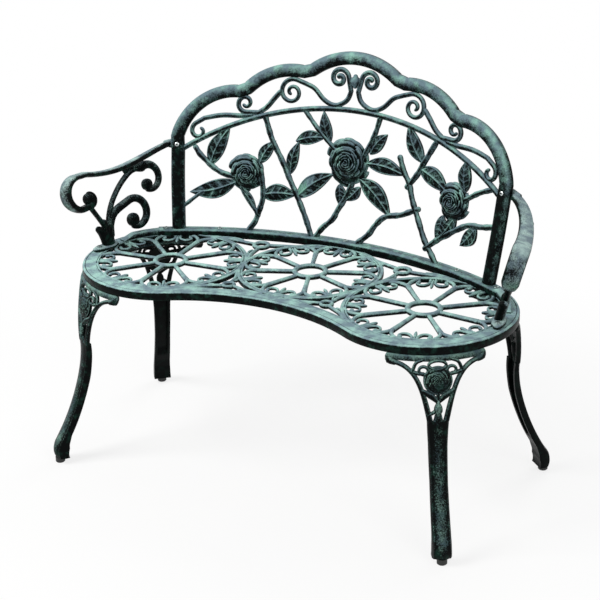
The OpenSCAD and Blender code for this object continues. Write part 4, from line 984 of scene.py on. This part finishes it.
def watched(tree):
    """1 on rays from the camera, and on those by which gloss and glass show the background."""
    seen = add(tree, "ShaderNodeLightPath").outputs
    either = add(tree, "ShaderNodeMath", {"operation": "MAXIMUM"}, _0=seen["Is Camera Ray"],
                 _1=seen["Is Glossy Ray"]).outputs[0]
    return add(tree, "ShaderNodeMath", {"operation": "MAXIMUM"}, _0=either,
               _1=seen["Is Transmission Ray"]).outputs[0]


# Near the bench a quarter of the floor's white is lit, and so keeps the bench's shadow. From
# 1.2 m out all of it is plain
tree = emptied(floor_white)
spot = add(tree, "ShaderNodeVectorMath", {"operation": "LENGTH"},
           _0=add(tree, "ShaderNodeTexCoord").outputs["Object"]).outputs["Value"]
faded = add(tree, "ShaderNodeMapRange", Value=spot, From_Min=0.4, From_Max=1.2, To_Min=0.76,
            To_Max=1.0).outputs["Result"]
share = add(tree, "ShaderNodeMath", {"operation": "MULTIPLY"}, _0=watched(tree),
            _1=faded).outputs[0]
shaded = add(tree, "ShaderNodeBsdfDiffuse", Color=linear("#f7f7f6"))
plain = add(tree, "ShaderNodeEmission", Color=linear("#ffffff"), Strength=1.0)
shader = add(tree, "ShaderNodeMixShader", _0=share, _1=shaded.outputs[0], _2=plain.outputs[0])
add(tree, "ShaderNodeOutputMaterial", Surface=shader.outputs[0])

world = bpy.data.worlds.new("pale room")
bpy.context.scene.world = world
tree = emptied(world)
lit = add(tree, "ShaderNodeBackground", Color=linear("#ffffff"), Strength=0.36)
shown = add(tree, "ShaderNodeBackground", Color=linear("#ffffff"), Strength=1.0)
both = add(tree, "ShaderNodeMixShader", _0=watched(tree), _1=lit.outputs[0],
           _2=shown.outputs[0])
add(tree, "ShaderNodeOutputWorld", Surface=both.outputs[0])

# Each lamp's name, place and width in metres, and power in watts. All aim at a point just
# over the middle of the seat
aimed_at = np.array([0, 0, 0.45])
for name, place, size, watts in (("lamp over the left shoulder", (-1.8, -1.6, 2.7), 1.4, 78),
                                 ("lamp over the right shoulder", (2.4, -1.4, 2.2), 1.6, 20),
                                 ("lamp behind", (0.3, 2.2, 2.4), 1.6, 22)):
    lamp = bpy.data.objects.new(name, bpy.data.lights.new(name, "AREA"))
    lamp.data.size, lamp.data.energy = size, watts
    lamp.location = place
    aim = aimed_at - np.array(place)
    lamp.rotation_euler = (np.arctan2(np.hypot(aim[0], aim[1]), -aim[2]), 0,
                           np.arctan2(-aim[0], aim[1]))
    bpy.context.scene.collection.objects.link(lamp)

# The camera's axes and place, in metres, as they were fitted to the photograph
camera = bpy.data.objects.new("camera", bpy.data.cameras.new("camera"))
camera.data.sensor_width, camera.data.sensor_fit = 36.0, "HORIZONTAL"
camera.data.lens = 98.08
right, above = np.array([0.8720, 0.4891, -0.0202]), np.array([-0.1711, 0.3431, 0.9236])
ahead = np.array([-0.4587, 0.8019, -0.3829])
matrix = np.eye(4)
matrix[:3, :3] = np.column_stack([unit(right), unit(above), -unit(ahead)])
matrix[:3, 3] = (1.5305, -2.6680, 1.6319)
camera.matrix_world = Matrix(matrix.tolist())
bpy.context.scene.collection.objects.link(camera)
bpy.context.scene.camera = camera
bpy.context.scene.view_settings.view_transform = "Standard"
